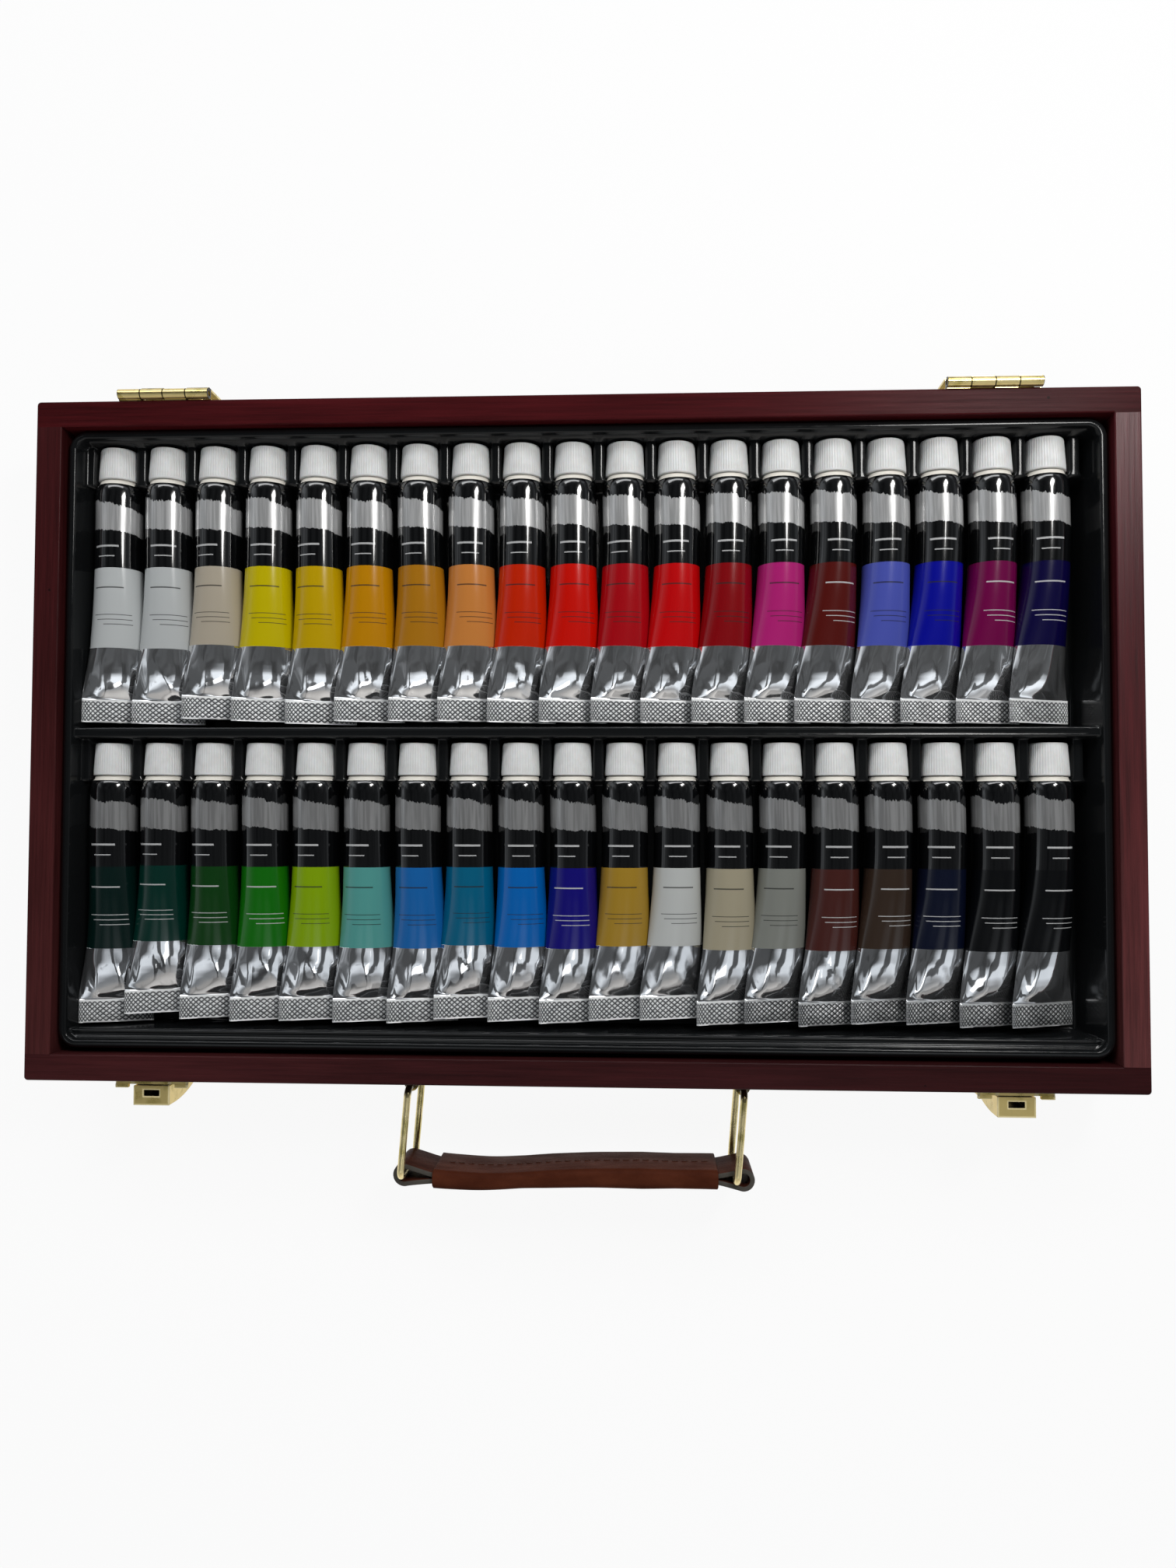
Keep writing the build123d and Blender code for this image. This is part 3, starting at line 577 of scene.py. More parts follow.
# the whole tube's colour, from the collar down
colour = mixed(tree, in_black, (0.80, 0.76, 0.68, 1), (0.0022, 0.0024, 0.0028, 1))
colour = mixed(tree, times(tree, pale_rules, 0.75), colour, (0.62, 0.62, 0.62, 1))
streak = stretched_noise(tree, flat, (1.1, 0.05, 1.0), 2.0)
streaked = {0: given["Brush"], 3: between(tree, streak, 0.38, 0.60, 0.78, 1.10)}
silver = add_node(tree, "ShaderNodeVectorMath", streaked, operation="SCALE").outputs[0]
colour = mixed(tree, brush, colour, silver)
colour = mixed(tree, in_colour, colour, given["Paint"])
ruled_share = times(tree, rules, times(tree, in_colour, 0.8))
colour = mixed(tree, ruled_share, colour, given["Lines"])
colour = mixed(tree, in_foil, colour, foil_colour)
tree.links.new(colour, out["Color"])

metal = maths(tree, "MAXIMUM", times(tree, brush, 0.35), times(tree, in_foil, 0.94))
metal = minus(tree, metal, times(tree, in_crimp, given["Matt Crimp"]))
tree.links.new(metal, out["Metallic"])
rough = multiply_add(tree, in_black, -0.36, 0.50)
smear = stretched_noise(tree, flat, (0.5, 0.12, 1.0), 4.0)
for share, change in (
    (brush, 0.14), (in_colour, given["Gloss"]), (in_foil, -0.15),
    (times(tree, in_foil, smear), 0.04), (in_crimp, 0.29),
):
    rough = multiply_add(tree, share, change, rough)
tree.links.new(rough, out["Roughness"])
tree.links.new(minus(tree, in_black, in_colour), out["Coat"])
wrinkle = stretched_noise(tree, flat, (0.10, 0.05, 1.0), 1.0, turn=24)
wrinkle = times(tree, wrinkle, multiply_add(tree, in_foil, 0.22, 0.10))
tree.links.new(multiply_add(tree, hatch, 0.45, wrinkle), out["Height"])


def tube_material(name, **print_inputs):
    """A tube's printed lacquer and foil; each keyword is an input of its print with _ for a space.

    Matt_Crimp, from 0 to 1, sets how matt the crimp is; the foil shade input, from 0 to 1, sets
    how much darker grey the bare foil is painted, as painted shade."""
    material, tree, shader = new_material(name, Coat_Roughness=0.05, IOR=1.5)
    sockets = {socket.replace("_", " "): value for socket, value in print_inputs.items()}
    sockets["Surface"] = add_node(tree, "ShaderNodeUVMap", uv_map="surface").outputs[0]
    printed = add_node(tree, "ShaderNodeGroup", sockets, node_tree=tube_print).outputs
    for socket, target in (
        ("Color", "Base Color"), ("Metallic", "Metallic"), ("Roughness", "Roughness"),
        ("Coat", "Coat Weight"),
    ):
        tree.links.new(printed[socket], shader.inputs[target])
    add_bump(tree, shader, printed["Height"], 0.0006, 0.8)
    return material


# the tube's size down its length: distance from the cap's end, half width, half thickness
tube_section = np.array([
    (3.8, 3.5, 3.5), (4.4, 4.0, 4.0), (11.9, 4.0, 4.0), (12.3, 6.7, 6.7), (12.8, 6.85, 6.85),
    (13.3, 6.95, 6.95), (13.7, 7.3, 7.3), (14.1, 7.65, 7.65), (14.6, 7.95, 7.95), (15.4, 8.2, 8.2),
    (16.4, 8.36, 8.36), (17.4, 8.44, 8.44), (18.2, 8.48, 8.48), (19.0, 8.5, 8.5), (20.2, 8.5, 8.5),
    (45.5, 8.55, 8.45), (56, 9.0, 8.1), (66, 9.7, 7.35), (76, 10.5, 6.25), (82, 11.3, 5.4),
    (86, 11.9, 4.6), (89, 12.35, 3.75), (91.5, 12.7, 2.75), (93.3, 12.95, 1.75), (94.6, 13.1, 0.95),
    (95.2, 13.15, 0.62), (103.8, 13.25, 0.60),
])
shoulder_rows = 15
tube_stations = np.concatenate([
    tube_section[:shoulder_rows, 0], np.linspace(24, 44, 6), np.linspace(47, 75, 13),
    np.linspace(76.2, 92.2, 17),
    [92.9, 93.6, 94.2, 94.7, 95.0, 95.2, 95.45, 96.2, 98, 100, 102, 103.2, 103.5, 103.8],
])
half_widths = np.interp(tube_stations, tube_section[:, 0], tube_section[:, 1])
half_thicknesses = np.interp(tube_stations, tube_section[:, 0], tube_section[:, 2])
half_thicknesses = np.where(tube_stations > 103.1, 0.42, half_thicknesses)
taper = np.clip((tube_stations - 50) / 44, 0, 1)
flattened = tube_stations > 95.1
tube_columns = 73
tube_turns = np.linspace(-pi / 2, 3 * pi / 2, tube_columns)
tube_axis_z = 26.35
tube_lean = 0.007


def tube_points(random, x, cap_end, roll, tail_x, tail_y):
    """A tube's surface: a round or flat section, rolled about its axis and set on a leaning line.

    The section is an ellipse that sharpens to a lens as it flattens, and to a narrow crown just
    above the crimp. Shallow dents push it in and out, and the bare foil has a few slanting folds,
    each a ridge whose height falls off on both sides. tail_x and tail_y move the crimp."""
    down, angle = np.meshgrid(tube_stations, tube_turns, indexing="ij")
    across = half_widths[:, None] * np.cos(angle)
    sharp = np.abs(np.sin(angle)) ** (0.45 * taper[:, None] + 1.2 * step(down, 80, 94))
    flat_section = np.sign(np.sin(angle)) * np.minimum(1, 5 * np.abs(np.sin(angle)))
    section = np.where(flattened[:, None], flat_section, np.sin(angle) * sharp)
    up = half_thicknesses[:, None] * section
    uniform = random.uniform
    dent = np.zeros_like(down)
    for _ in range(4):
        phase, pace, turns = uniform(0, 2 * pi), uniform(0.05, 0.12), random.integers(1, 4)
        dent += 0.035 * np.sin(pace * down + turns * angle + phase) * step(down, 21, 30)
    folds = [
        # the angle where a fold starts, its slant, its width and how far it stands out
        (uniform(0.62, 0.74) * pi, uniform(-0.012, 0.006), 0.13, uniform(0.5, 0.8)),
        (uniform(0.22, 0.34) * pi, uniform(-0.035, -0.01), 0.16, uniform(-0.8, -0.45)),
        (uniform(0.42, 0.55) * pi, uniform(-0.05, -0.02), 0.11, uniform(-0.5, 0.5)),
        (uniform(0.82, 0.90) * pi, 0.0, 0.10, 0.4),
    ]
    for start, slant, width, rise in folds:
        off = np.abs(angle - start - slant * (down - 88)) / width
        dent += rise * np.exp(-np.sqrt(off ** 2 + 0.02)) * step(down, 72 + uniform(0, 6), 86)
    dent *= step(-down, -95.1, -91.5)
    across = across + dent * np.cos(angle)
    up = up + dent * np.sin(angle)
    tilt = radians(roll) * step(down, 20, 96)
    wave = 0.22 * step(down, 94, 96) * np.sin(across * uniform(0.2, 0.45) + uniform(0, 6))
    side = across * np.cos(tilt) + up * np.sin(tilt)
    height = up * np.cos(tilt) - across * np.sin(tilt) + wave
    bend = step(down, 30, 97)
    points = np.stack([
        x + side + tube_lean * down + tail_x * bend,
        cap_end - down - tail_y * bend,
        tube_axis_z + height,
    ], 2) * mm
    uv = np.stack([(angle + pi / 2) / (2 * pi), down / tube_length], 2)
    return points, uv


def closed_ends(rows, columns):
    """The quads of rings that each run once round from the underside, with both ends shut."""
    faces = [grid_faces(rows, columns)]
    half = np.arange((columns - 1) // 2)
    for first in (0, (rows - 1) * columns):
        left, right = first + half, first + columns - 1 - half
        faces.append(np.stack([left, left + 1, right - 1, right], 1))
    return np.concatenate(faces)


paint_colours = {
    "white": (188, 191, 191), "zinc_white": (184, 187, 187), "milky_beige": (174, 164, 147),
    "lemon_yellow": (194, 177, 0), "medium_yellow": (190, 156, 0), "deep_yellow": (189, 128, 0),
    "ochre": (168, 112, 18), "coral": (196, 124, 58), "orange": (190, 34, 0),
    "vermilion": (198, 14, 2), "rose_red": (162, 6, 18), "scarlet": (188, 4, 8),
    "crimson": (129, 4, 12), "magenta": (170, 31, 110), "burnt_sienna": (80, 16, 12),
    "blue_violet": (70, 80, 165), "ultramarine": (4, 9, 140), "purple": (103, 2, 64),
    "dark_violet": (8, 3, 54), "dark_teal": (2, 26, 23), "turquoise_green": (0, 44, 36),
    "grass_green": (10, 58, 14), "light_green": (14, 104, 8), "olive_lime": (128, 162, 0),
    "ocean_green": (80, 150, 144), "pale_blue": (20, 95, 164), "lake_blue": (0, 92, 125),
    "sky_blue": (0, 95, 174), "deep_blue": (16, 8, 112), "gold": (158, 124, 36),
    "silver": (182, 184, 182), "warm_grey": (156, 148, 126), "neutral_grey": (122, 124, 118),
    "burnt_umber": (66, 30, 26), "raw_umber": (50, 38, 30), "navy": (8, 14, 34),
    "black": (6, 7, 9), "lamp_black": (6, 7, 9),
}
# how far each crimp lies to the right of its tube's line, and further down than its length
tail_xs = [
    0.7, 0.5, 0.2, -0.1, 1.0, 0.2, 1.2, 0.3, -0.5, -0.6, -0.7, -1.6, -2.2, -2.1, -3.2, -2.4, -3.4,
    -2.7, -3.7,
    1.5, -0.2, 1.3, 0.9, 0.1, 0.8, 1.7, -0.2, 0.4, 0.0, -1.1, -1.7, -0.4, -2.4, -2.2, -2.8, -2.4,
    -2.5, -3.6,
]
tail_ys = [
    -0.2, 0.3, -1.5, -0.6, 0.4, -0.4, -0.5, -0.5, 0.0, -0.1, 0.0, 0.3, 0.2, 0.1, 0.1, 0.4, 0.3,
    0.5, 0.4,
    0.6, -3.1, -1.4, -0.8, -1.0, -0.6, -0.6, -2.2, -1.5, -0.9, -2.3, -2.6, -0.9, -1.8, -0.9, -2.0,
    -2.0, -1.1, -1.2,
]
# how far a few tubes are rolled about their own line, in degrees; the rest lie at 16 to 20
tube_rolls = {1: 24.0, 19: 23.0, 38: 21.5}
# how pale the brushstroke and how dark grey the bare foil are painted, in the back row and the
# front row: painted light and shade, darker in the front row
brush_greys_lit_and_shaded, foil_shades_by_row = (0.50, 0.28), (0.0, 0.34)
tube_names = sorted(name for name in nodes if name.startswith("tube_"))
random = np.random.default_rng(20)
for number, name in enumerate(tube_names, 1):
    # the crimps at the left of the front row are the most matt, and those at its right shine
    matt_crimp = 0.85 if 20 <= number <= 31 else 0.10 if number >= 33 else 0.72
    word = name[len("tube_01_"):]
    row, column = divmod(number - 1, tubes_in_row)
    paint = from_screen(*paint_colours[word])
    is_pale = sum(paint[:3]) / 3 > 0.07
    grey, line = brush_greys_lit_and_shaded[row], 0.02 if is_pale else 0.55
    material = tube_material(
        "lacquer_" + word, Brush=(grey, grey, grey, 1), Paint=paint, Lines=(line, line, line, 1),
        Gloss=0.12 if word in ("gold", "silver") else 0.06, Shift=random.uniform(-3.0, 1.0),
        Matt_Crimp=matt_crimp, Dull_Foil=foil_shades_by_row[row],
    )
    roll = tube_rolls.get(number, random.uniform(16, 20))
    x, tail = first_tube_x + column * tube_pitch, (tail_xs[number - 1], tail_ys[number - 1])
    points, uv = tube_points(random, x, row_cap_ends[row], roll, *tail)
    quads = closed_ends(*points.shape[:2])
    piece = new_mesh(name + "_foil", points, quads, material, uv=uv, close=True)
    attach(piece, nodes[name]["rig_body"])
    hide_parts(name)

# The caps are moulded in white plastic, tapered towards the end, with fine ribs all round for the
# fingers and a plain lip at the open end. Each screws onto its tube's neck.
rib_count = 48
cap_section = np.array([
    # radius, distance from the closed end, how far the ribs stand out here
    (0.02, 0.25, 0), (4.2, 0.22, 0), (4.9, 0.04, 0), (6.2, 0.0, 0), (6.46, 0.06, 0),
    (6.57, 0.20, 0.1), (6.61, 0.5, 0.5), (6.64, 1.0, 1), (7.24, 10.9, 1), (7.3, 11.15, 0.4),
    (7.36, 11.35, 0), (7.42, 11.75, 0), (7.3, 11.95, 0), (5.8, 11.95, 0), (4.12, 11.9, 0),
    (4.12, 1.6, 0), (0.02, 1.6, 0),
])
cap_turns = np.linspace(0, 2 * pi, 4 * rib_count + 1)
rib_pattern = np.append(np.tile([0.0, 0.16, 0.16, 0.0], rib_count), 0.0)


def cap_points(x, cap_end):
    """A turned section, its radius raised where a rib stands, laid along the leaning tube."""
    radius = cap_section[:, :1] + cap_section[:, 2:] * rib_pattern
    down = cap_section[:, 1:2] + 0 * cap_turns
    return np.stack([
        x + radius * np.cos(cap_turns) + tube_lean * down,
        cap_end - down - tube_lean * radius * np.cos(cap_turns),
        tube_axis_z + radius * np.sin(cap_turns),
    ], 2) * mm


cap_plastic, tree, shader = new_material(
    "cap_plastic", Roughness=0.42, IOR=1.46, Subsurface_Weight=0.06, Subsurface_Scale=0.002,
)
where = object_place(tree)
grime_and_shade = noise(tree, where, 260.0, 3.0)
soiled = between(tree, grime_and_shade, 0.35, 0.7)
white = mixed(tree, soiled, (0.74, 0.745, 0.74, 1), (0.67, 0.67, 0.66, 1))
tree.links.new(white, shader.inputs["Base Color"])
tree.links.new(between(tree, grime_and_shade, 0.3, 0.7, 0.36, 0.5), shader.inputs["Roughness"])
cap_quads = grid_faces(len(cap_section), len(cap_turns))
cap_size = len(cap_section) * len(cap_turns)
for name, columns, row in (
    ("back_row_caps", range(tubes_in_row - 1), 0), ("front_row_caps", range(tubes_in_row), 1),
    ("dark_violet_cap", (tubes_in_row - 1,), 0),
):
    caps = [cap_points(first_tube_x + i * tube_pitch, row_cap_ends[row]) for i in columns]
    quads = np.concatenate([cap_quads + i * cap_size for i in range(len(caps))])
    piece = new_mesh("ribbed_" + name, np.concatenate(caps), quads, cap_plastic, close=True)
    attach(piece, nodes[name]["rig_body"])
    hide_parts(name)


# The hinges, latches and handle fittings are pressed brass, with soft edges where the sheet was
# cut and folded. Each piece is the CAD shape with its edges eased.
def brass_material(name, tint, metal, roughness, grime_and_shade, painted_edge_highlight=None):
    """Lacquered brass: a little brown in random patches, with faint rubbed streaks.

    The shade input, a function of (tree, x, y, z, facing), gives where the brass is painted near
    black as shade, in gaps and inside, out of the light. The edge highlight input, of the same
    form, gives where its edges are painted pale and less metallic, as a painted highlight."""
    material, tree, shader = new_material(name, Metallic=metal)
    coordinates = add_node(tree, "ShaderNodeTexCoord").outputs
    where = coordinates["Object"]
    stain = noise(tree, where, 170.0, 2.0)
    streak = stretched_noise(tree, where, (120, 900, 900), 2.0)
    brown = (0.68 * tint[0], 0.68 * tint[1], 0.5 * tint[2], 1)
    colour = mixed(tree, between(tree, stain, 0.32, 0.50), brown, (*tint, 1))
    place = xyz(tree, where)
    facing = xyz(tree, coordinates["Normal"])[1]
    # painted highlight: edges painted pale and less metallic, as if they caught the light
    if painted_edge_highlight:
        pale = painted_edge_highlight(tree, *place, facing)
        colour = mixed(tree, pale, colour, (0.80, 0.68, 0.36, 1))
        tree.links.new(between(tree, pale, 0.0, 1.0, metal, 0.1), shader.inputs["Metallic"])
    # painted shade: near black where the shade input marks a gap or an inside, out of the light
    colour = mixed(tree, grime_and_shade(tree, *place, facing), colour, (0.012, 0.008, 0.004, 1))
    tree.links.new(colour, shader.inputs["Base Color"])
    rubbed = multiply_add(tree, streak, 0.3, stain)
    rubbed = between(tree, rubbed, 0.45, 0.85, roughness - 0.06, roughness + 0.08)
    tree.links.new(rubbed, shader.inputs["Roughness"])
    add_bump(tree, shader, stain, 0.00004, 0.25)
    return material


def away_from(tree, value, middle, half):
    """How far a value is from the nearer of two places, half to either side of a middle one."""
    off = maths(tree, "ABSOLUTE", minus(tree, value, middle))
    return maths(tree, "ABSOLUTE", minus(tree, off, half))


def knuckle_gap_shade(tree, x, y, z, facing):
    """Painted shade: the thin gaps in the barrel where two knuckles meet, and its ends, every 8.5
    mm from each hinge's middle.
    """
    off = maths(tree, "PINGPONG", away_from(tree, x, -0.0017, 0.1513), 0.00425)
    on_barrel = maths(tree, "GREATER_THAN", z, 0.0382)
    return times(tree, between(tree, off, 0.00030, 0.00014), on_barrel)


lever_low, lever_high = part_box("latch_left_lever")
lever_front, lever_top = lever_low[1], lever_high[2]
latches_middle, latches_half = 0.0004, 0.155


def lever_inside_shade(tree, x, y, z, facing):
    """Painted shade: the walls inside a latch's lever, seen through its slot, painted near black.
    """
    off = away_from(tree, x, latches_middle, latches_half)
    inside = maths(tree, "LESS_THAN", off, 0.0058)
    for value, limit in ((y, -0.13315), (facing, -0.1)):
        inside = times(tree, inside, maths(tree, "GREATER_THAN", value, limit))
    return times(tree, inside, maths(tree, "LESS_THAN", z, lever_top - 0.0005))


def lever_edge_highlights(tree, x, y, z, facing):
    """Painted highlights: the border of a lever's upper face, a line round its slot, and the rims
    of the lips, painted pale as if they caught the light.
    """
    off = away_from(tree, x, latches_middle, latches_half)
    beside = minus(tree, maths(tree, "ABSOLUTE", maths(tree, "ADD", y, 0.1296)), 0.00115)
    slot_line = maths(tree, "MAXIMUM", minus(tree, off, 0.0029), beside)
    slot_line = between(tree, slot_line, 0.00050, 0.00034)
    on_lip = maths(tree, "GREATER_THAN", off, 0.0075)
    lip_middle = times(tree, on_lip, between(tree, off, 0.0129, 0.0126))
    side = minus(tree, between(tree, off, 0.0060, 0.0063), lip_middle)
    front = between(tree, y, lever_front + 0.0007, lever_front + 0.0004)
    lip_front = times(tree, on_lip, between(tree, y, -0.1272, -0.1275))
    rims = maths(tree, "MAXIMUM", maths(tree, "MAXIMUM", side, front), lip_front)
    on_face = maths(tree, "GREATER_THAN", z, lever_top - 0.0006)
    return times(tree, maths(tree, "MAXIMUM", slot_line, rims), on_face)


def bracket_shade_by_box(tree, x, y, z, facing):
    """Painted shade: the brackets darkened where they meet the front board, out of the light."""
    return between(tree, y, -0.1305, -0.1290, 0.0, 0.85)


def round_edges(piece, width):
    """Rounds a piece's sharp edges."""
    rounding = piece.modifiers.new("rounding", "BEVEL")
    rounding.width = width
    rounding.segments = 3
    rounding.harden_normals = True
    return rounding


def eased(name, width, material):
    """A copy of a CAD piece with its loose triangles welded and its sharp edges rounded."""
    mesh = nodes[name].data.copy()
    shape = bmesh.new()
    shape.from_mesh(mesh)
    bmesh.ops.remove_doubles(shape, verts=shape.verts, dist=2e-6)
    flat_angle = radians(1.5)
    bmesh.ops.dissolve_limit(shape, angle_limit=flat_angle, verts=shape.verts, edges=shape.edges)
    shape.to_mesh(mesh)
    shape.free()
    if mesh.has_custom_normals:
        mesh.attributes.remove(mesh.attributes["custom_normal"])
    mesh.polygons.foreach_set("use_smooth", np.full(len(mesh.polygons), True))
    mesh.materials.clear()
    mesh.materials.append(material)
    piece = bpy.data.objects.new(name + "_eased", mesh)
    bpy.context.scene.collection.objects.link(piece)
    round_edges(piece, width).angle_limit = radians(35)
    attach(piece, nodes[name]["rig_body"])
    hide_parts(name)


hinge_brass = brass_material("hinge_brass", (0.74, 0.60, 0.27), 0.9, 0.28, knuckle_gap_shade)
latch_brass = brass_material(
    "latch_brass", (0.78, 0.61, 0.24), 0.76, 0.30, lever_inside_shade, lever_edge_highlights,
)
ring_brass = brass_material("ring_brass", (0.86, 0.72, 0.38), 0.95, 0.26, bracket_shade_by_box)
for name, width, material in (
    ("hinge_base_leaves", 0.00015, hinge_brass), ("hinge_left_lid_leaf", 0.00015, hinge_brass),
    ("hinge_right_lid_leaf", 0.00015, hinge_brass), ("latch_plates", 0.0003, latch_brass),
    ("latch_left_lever", 0.00035, latch_brass), ("latch_right_lever", 0.00035, latch_brass),
):
    eased(name, width, material)
eased("handle_brackets", 0.0002, ring_brass)

# each latch plate's top edge is folded forward into a narrow lip on both sides of the lever
box_quads = np.array([
    (0, 1, 3, 2), (4, 6, 7, 5), (0, 4, 5, 1), (2, 3, 7, 6), (0, 2, 6, 4), (1, 5, 7, 3),
])
lip_points = np.array([
    (latch_x + side * off, y, z)
    for latch_x in (-154.6, 155.4) for side in (-1, 1)
    for off in (8.5, 13.4) for y in (-127.7, -126.2) for z in (36.2, 37.75)
])
lip_quads = np.concatenate([box_quads + 8 * i for i in range(4)])
lips = new_mesh("latch_plate_lips", lip_points * mm, lip_quads, latch_brass, close=True)
round_edges(lips, 0.0003)
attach(lips, "box")
for name, material in (
    ("hinge_pins", hinge_brass), ("wood_screws", hinge_brass),
    ("handle_left_ring", ring_brass), ("handle_right_ring", ring_brass),
):
    finish_node(name, material)

# The handle is one leather band, folded back on itself in a loop round each ring, with its cut
# edges showing grey. A thinner leather sheath is wrapped round its middle and sewn.
handle_y, handle_z = -159.90, 20.0
loop_xs, loop_radius = (-63.20, 60.60), 3.2
sheath_ends = (-52.5, 51.4)
band_half, band_half_width = 0.9, 10.0


def leather_material(name, dark, pale, cut_edge):
    """Smooth leather with fine pores, paler where hands rub it; cut_edge greys cut edges."""
    material, tree, shader = new_material(name, Roughness=0.5, Specular_IOR_Level=0.012)
    where = object_place(tree)
    cells = {"Vector": where, "Scale": 1500.0}
    pores = add_node(tree, "ShaderNodeTexVoronoi", cells).outputs["Distance"]
    rub = stretched_noise(tree, where, (60, 160, 160), 4.0)
    colour = mixed(tree, between(tree, rub, 0.35, 0.65), dark, pale)
    if cut_edge:
        z = xyz(tree, where)[2]
        edge = maths(tree, "ABSOLUTE", minus(tree, z, handle_z * mm))
        edge = between(tree, edge, 0.00955, 0.00985)
        colour = mixed(tree, edge, colour, (0.085, 0.078, 0.068, 1))
    tree.links.new(colour, shader.inputs["Base Color"])
    tree.links.new(between(tree, rub, 0.3, 0.7, 0.50, 0.34), shader.inputs["Roughness"])
    add_bump(tree, shader, pores, 0.00012, 0.5)
    return material


def swayed(x):
    """How far the sewn part of the handle bends sideways, by its place along the handle."""
    stations = (-63, -57, -50, -43, -36, -30, -24, -18, -12, -6, 0, 6, 24, 50, 60)
    offsets = (
        0.0, -0.7, -1.35, -1.65, -2.0, -1.85, -1.45, -1.0, -0.7, -0.42, -0.2, 0.05, 0.1, 0.2, 0.0,
    )
    return sum(np.interp(x + shift, stations, offsets) for shift in (-4, -2, 0, 2, 4)) / 5


def band_path():
    """The band's centre line from above: two close runs with a teardrop loop at each end.

    Each corner of the line is cut off twice, a quarter of the way along the runs beside it."""
    turns = np.radians(np.linspace(112, -112, 33))
    right = np.stack([loop_xs[1] + loop_radius * np.cos(turns), loop_radius * np.sin(turns)], 1)
    left = np.stack([loop_xs[0] - loop_radius * np.cos(turns), -loop_radius * np.sin(turns)], 1)
    run = np.linspace(sheath_ends[0] + 0.5, sheath_ends[1] - 0.5, 24)
    upper = np.stack([run, np.full(len(run), band_half)], 1)
    lower = np.stack([run[::-1], np.full(len(run), -band_half)], 1)
    line = np.concatenate([upper, right, lower, left])
    for _ in range(2):
        ahead = np.roll(line, -1, 0)
        line = np.stack([0.75 * line + 0.25 * ahead, 0.25 * line + 0.75 * ahead], 1)
        line = line.reshape(-1, 2)
    line[:, 1] += handle_y + swayed(line[:, 0])
    return line


def carried(path, section):
    """A closed surface: a section of (out, up) points carried round a closed path seen in plan."""
    ahead = np.roll(path, -1, 0) - np.roll(path, 1, 0)
    ahead /= np.linalg.norm(ahead, axis=1)[:, None]
    normal = np.stack([-ahead[:, 1], ahead[:, 0]], 1)
    plan = path[:, None, :] + normal[:, None, :] * section[None, :, :1]
    up = np.broadcast_to(section[None, :, 1:] + handle_z, plan[..., :1].shape)
    points = np.concatenate([plan, up], 2)
    return np.concatenate([points, points[:1]]) * mm


def round_cornered(half_out, half_up, radius, steps=4):
    """The outline of a rectangle with round corners, closed on its first point."""
    angle = np.linspace(0, pi / 2, steps) + np.arange(4)[:, None] * pi / 2
    sides, ends = np.array([(1, -1, -1, 1), (1, 1, -1, -1)])[:, :, None]
    out = sides * (half_out - radius) + radius * np.cos(angle)
    up = ends * (half_up - radius) + radius * np.sin(angle)
    outline = np.stack([out.ravel(), up.ravel()], 1)
    return np.concatenate([outline, outline[:1]])


strap_leather = leather_material(
    "strap_leather", (0.040, 0.0105, 0.0060, 1), (0.075, 0.021, 0.011, 1), True,
)
band = carried(band_path(), round_cornered(band_half - 0.02, band_half_width, 0.45))
strap = new_mesh("handle_band", band, grid_faces(*band.shape[:2]), strap_leather, close=True)
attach(strap, "handle")
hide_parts("handle_strap")

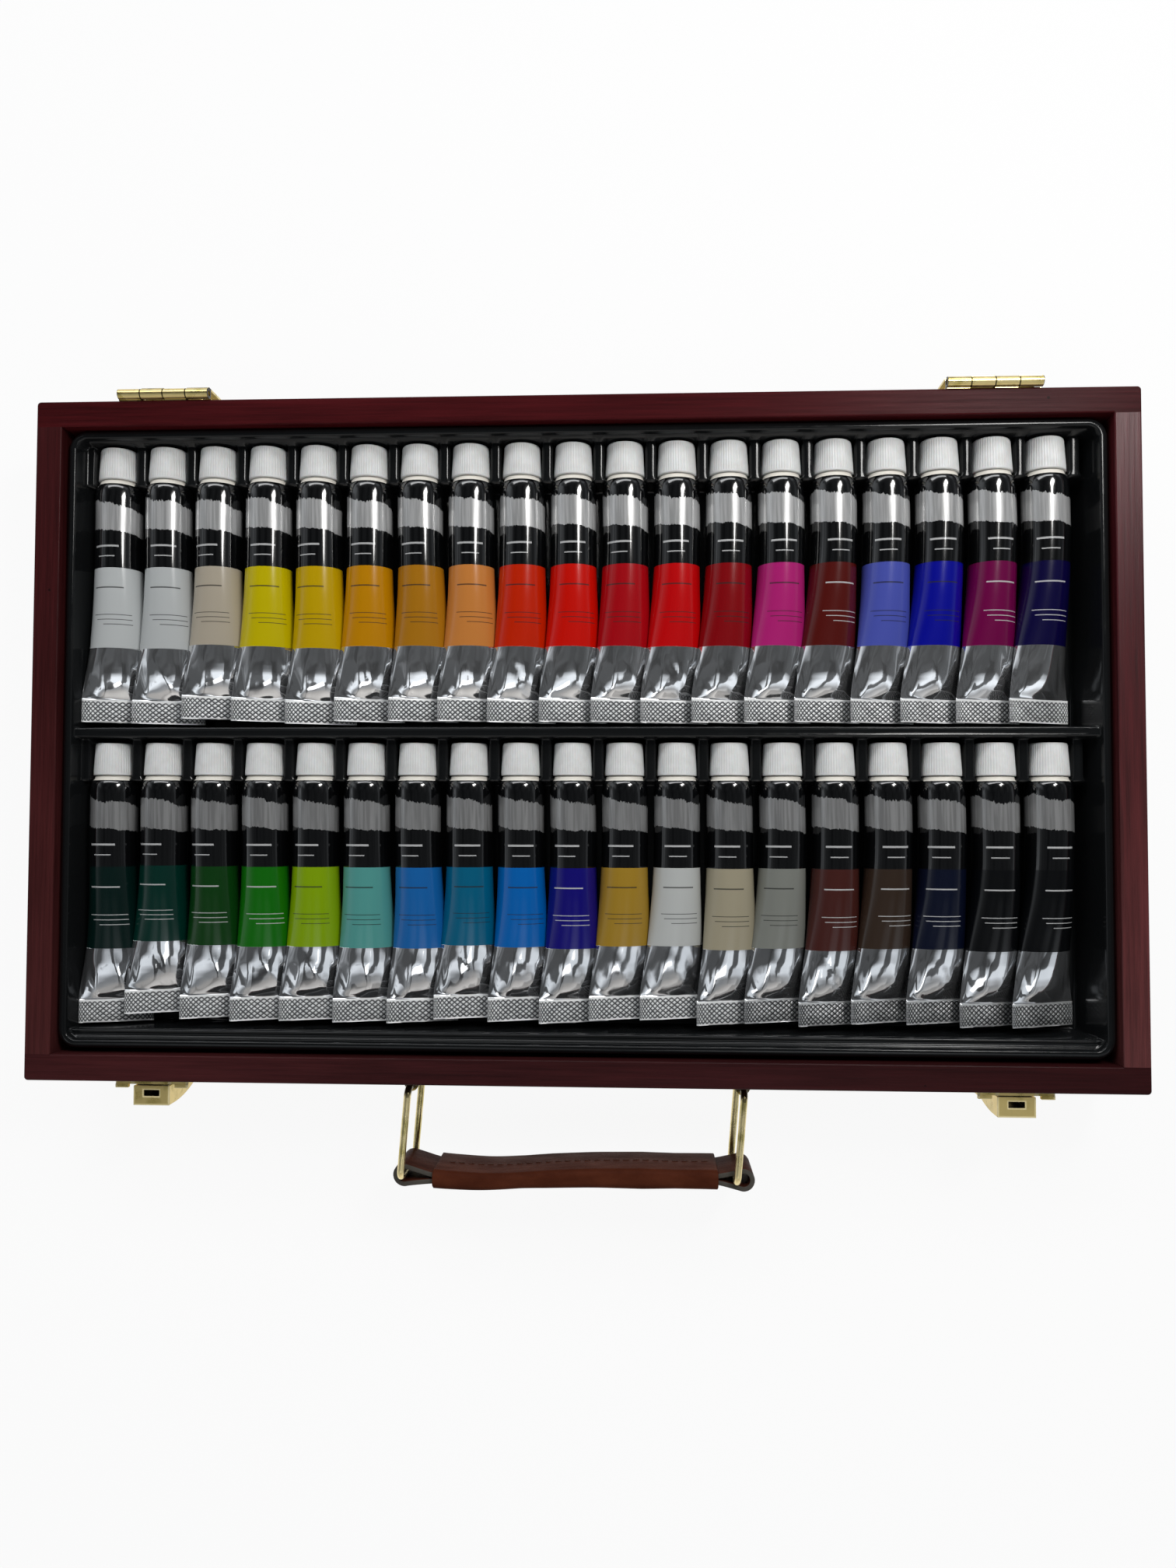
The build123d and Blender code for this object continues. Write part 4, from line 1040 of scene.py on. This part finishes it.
# the sheath's rounded outline, fuller or thinner along the handle, with a raised flap at its seam
sheath_stations = np.concatenate([
    [sheath_ends[0]], np.linspace(sheath_ends[0] + 0.3, sheath_ends[1] - 0.3, 90), [sheath_ends[1]],
])
sheath_half_out = 3.05
outline = round_cornered(sheath_half_out, 12.0, 2.3, 8)
outline_out, outline_up = outline.T
sheath_half = np.interp(
    sheath_stations, (-52, -42, -30, -20, -10, 10, 24, 36, 52),
    (3.45, 3.3, 3.05, 2.95, 3.25, 3.5, 3.7, 3.4, 3.5),
)
end_share = np.ones((len(sheath_stations), 1))
end_share[[0, -1]] = 0.86
along = sheath_stations[:, None]
out = outline_out * sheath_half[:, None] / sheath_half_out * end_share + swayed(along)
out = out + 0.28 * np.exp(-((outline_up - 1.6) / 1.3) ** 2) * (outline_out > 2.9)
up = outline_up * (1 - 0.02 * (1 - end_share))
along = np.broadcast_to(along, out.shape)
sheath_points = np.stack([along, handle_y + out, handle_z + up], 2) * mm
sheath_leather = leather_material(
    "sheath_leather", (0.054, 0.0135, 0.0068, 1), (0.094, 0.0255, 0.0125, 1), False,
)
sheath_quads = closed_ends(*sheath_points.shape[:2])
sheath_name = "handle_sheath_leather"
sheath = new_mesh(sheath_name, sheath_points, sheath_quads, sheath_leather, close=True)
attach(sheath, "handle")
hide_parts("handle_sheath")

# Saddle stitches in brown thread close the sheath along the middle of its inner face. Each lies
# in the leather, a little aslant.
thread, tree, shader = new_material("brown_thread", Roughness=0.7)
where = object_place(tree)
strands = {"Vector": where, "Scale": 900.0, "Distortion": 1.0}
twist = add_node(tree, "ShaderNodeTexWave", strands, bands_direction="DIAGONAL").outputs["Fac"]
thread_brown = mixed(tree, twist, (0.034, 0.011, 0.006, 1), (0.090, 0.031, 0.017, 1))
tree.links.new(thread_brown, shader.inputs["Base Color"])
add_bump(tree, shader, twist, 0.0001, 0.5)
stitch_lines = 9
stitch_x = np.linspace(-47, 47, 27)[:, None, None]
lengthwise, turns = np.meshgrid(
    np.linspace(0, pi, stitch_lines), np.linspace(0, 2 * pi, stitch_lines), indexing="ij",
)
face_y = handle_y + swayed(stitch_x) + np.interp(stitch_x, sheath_stations, sheath_half) + 0.10
stitch_points = np.stack(np.broadcast_arrays(
    stitch_x - 1.25 * np.cos(lengthwise),
    face_y + 0.22 * np.sin(lengthwise) * np.sin(turns),
    handle_z + 0.1 + 0.32 * np.sin(lengthwise) * np.cos(turns) + 0.14 * np.cos(lengthwise),
), 3) * mm
first_corners = np.arange(len(stitch_x))[:, None, None] * stitch_lines ** 2
stitch_quads = (grid_faces(stitch_lines, stitch_lines) + first_corners).reshape(-1, 4)
stitches = new_mesh("sheath_stitches", stitch_points, stitch_quads, thread, close=True)
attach(stitches, "handle")
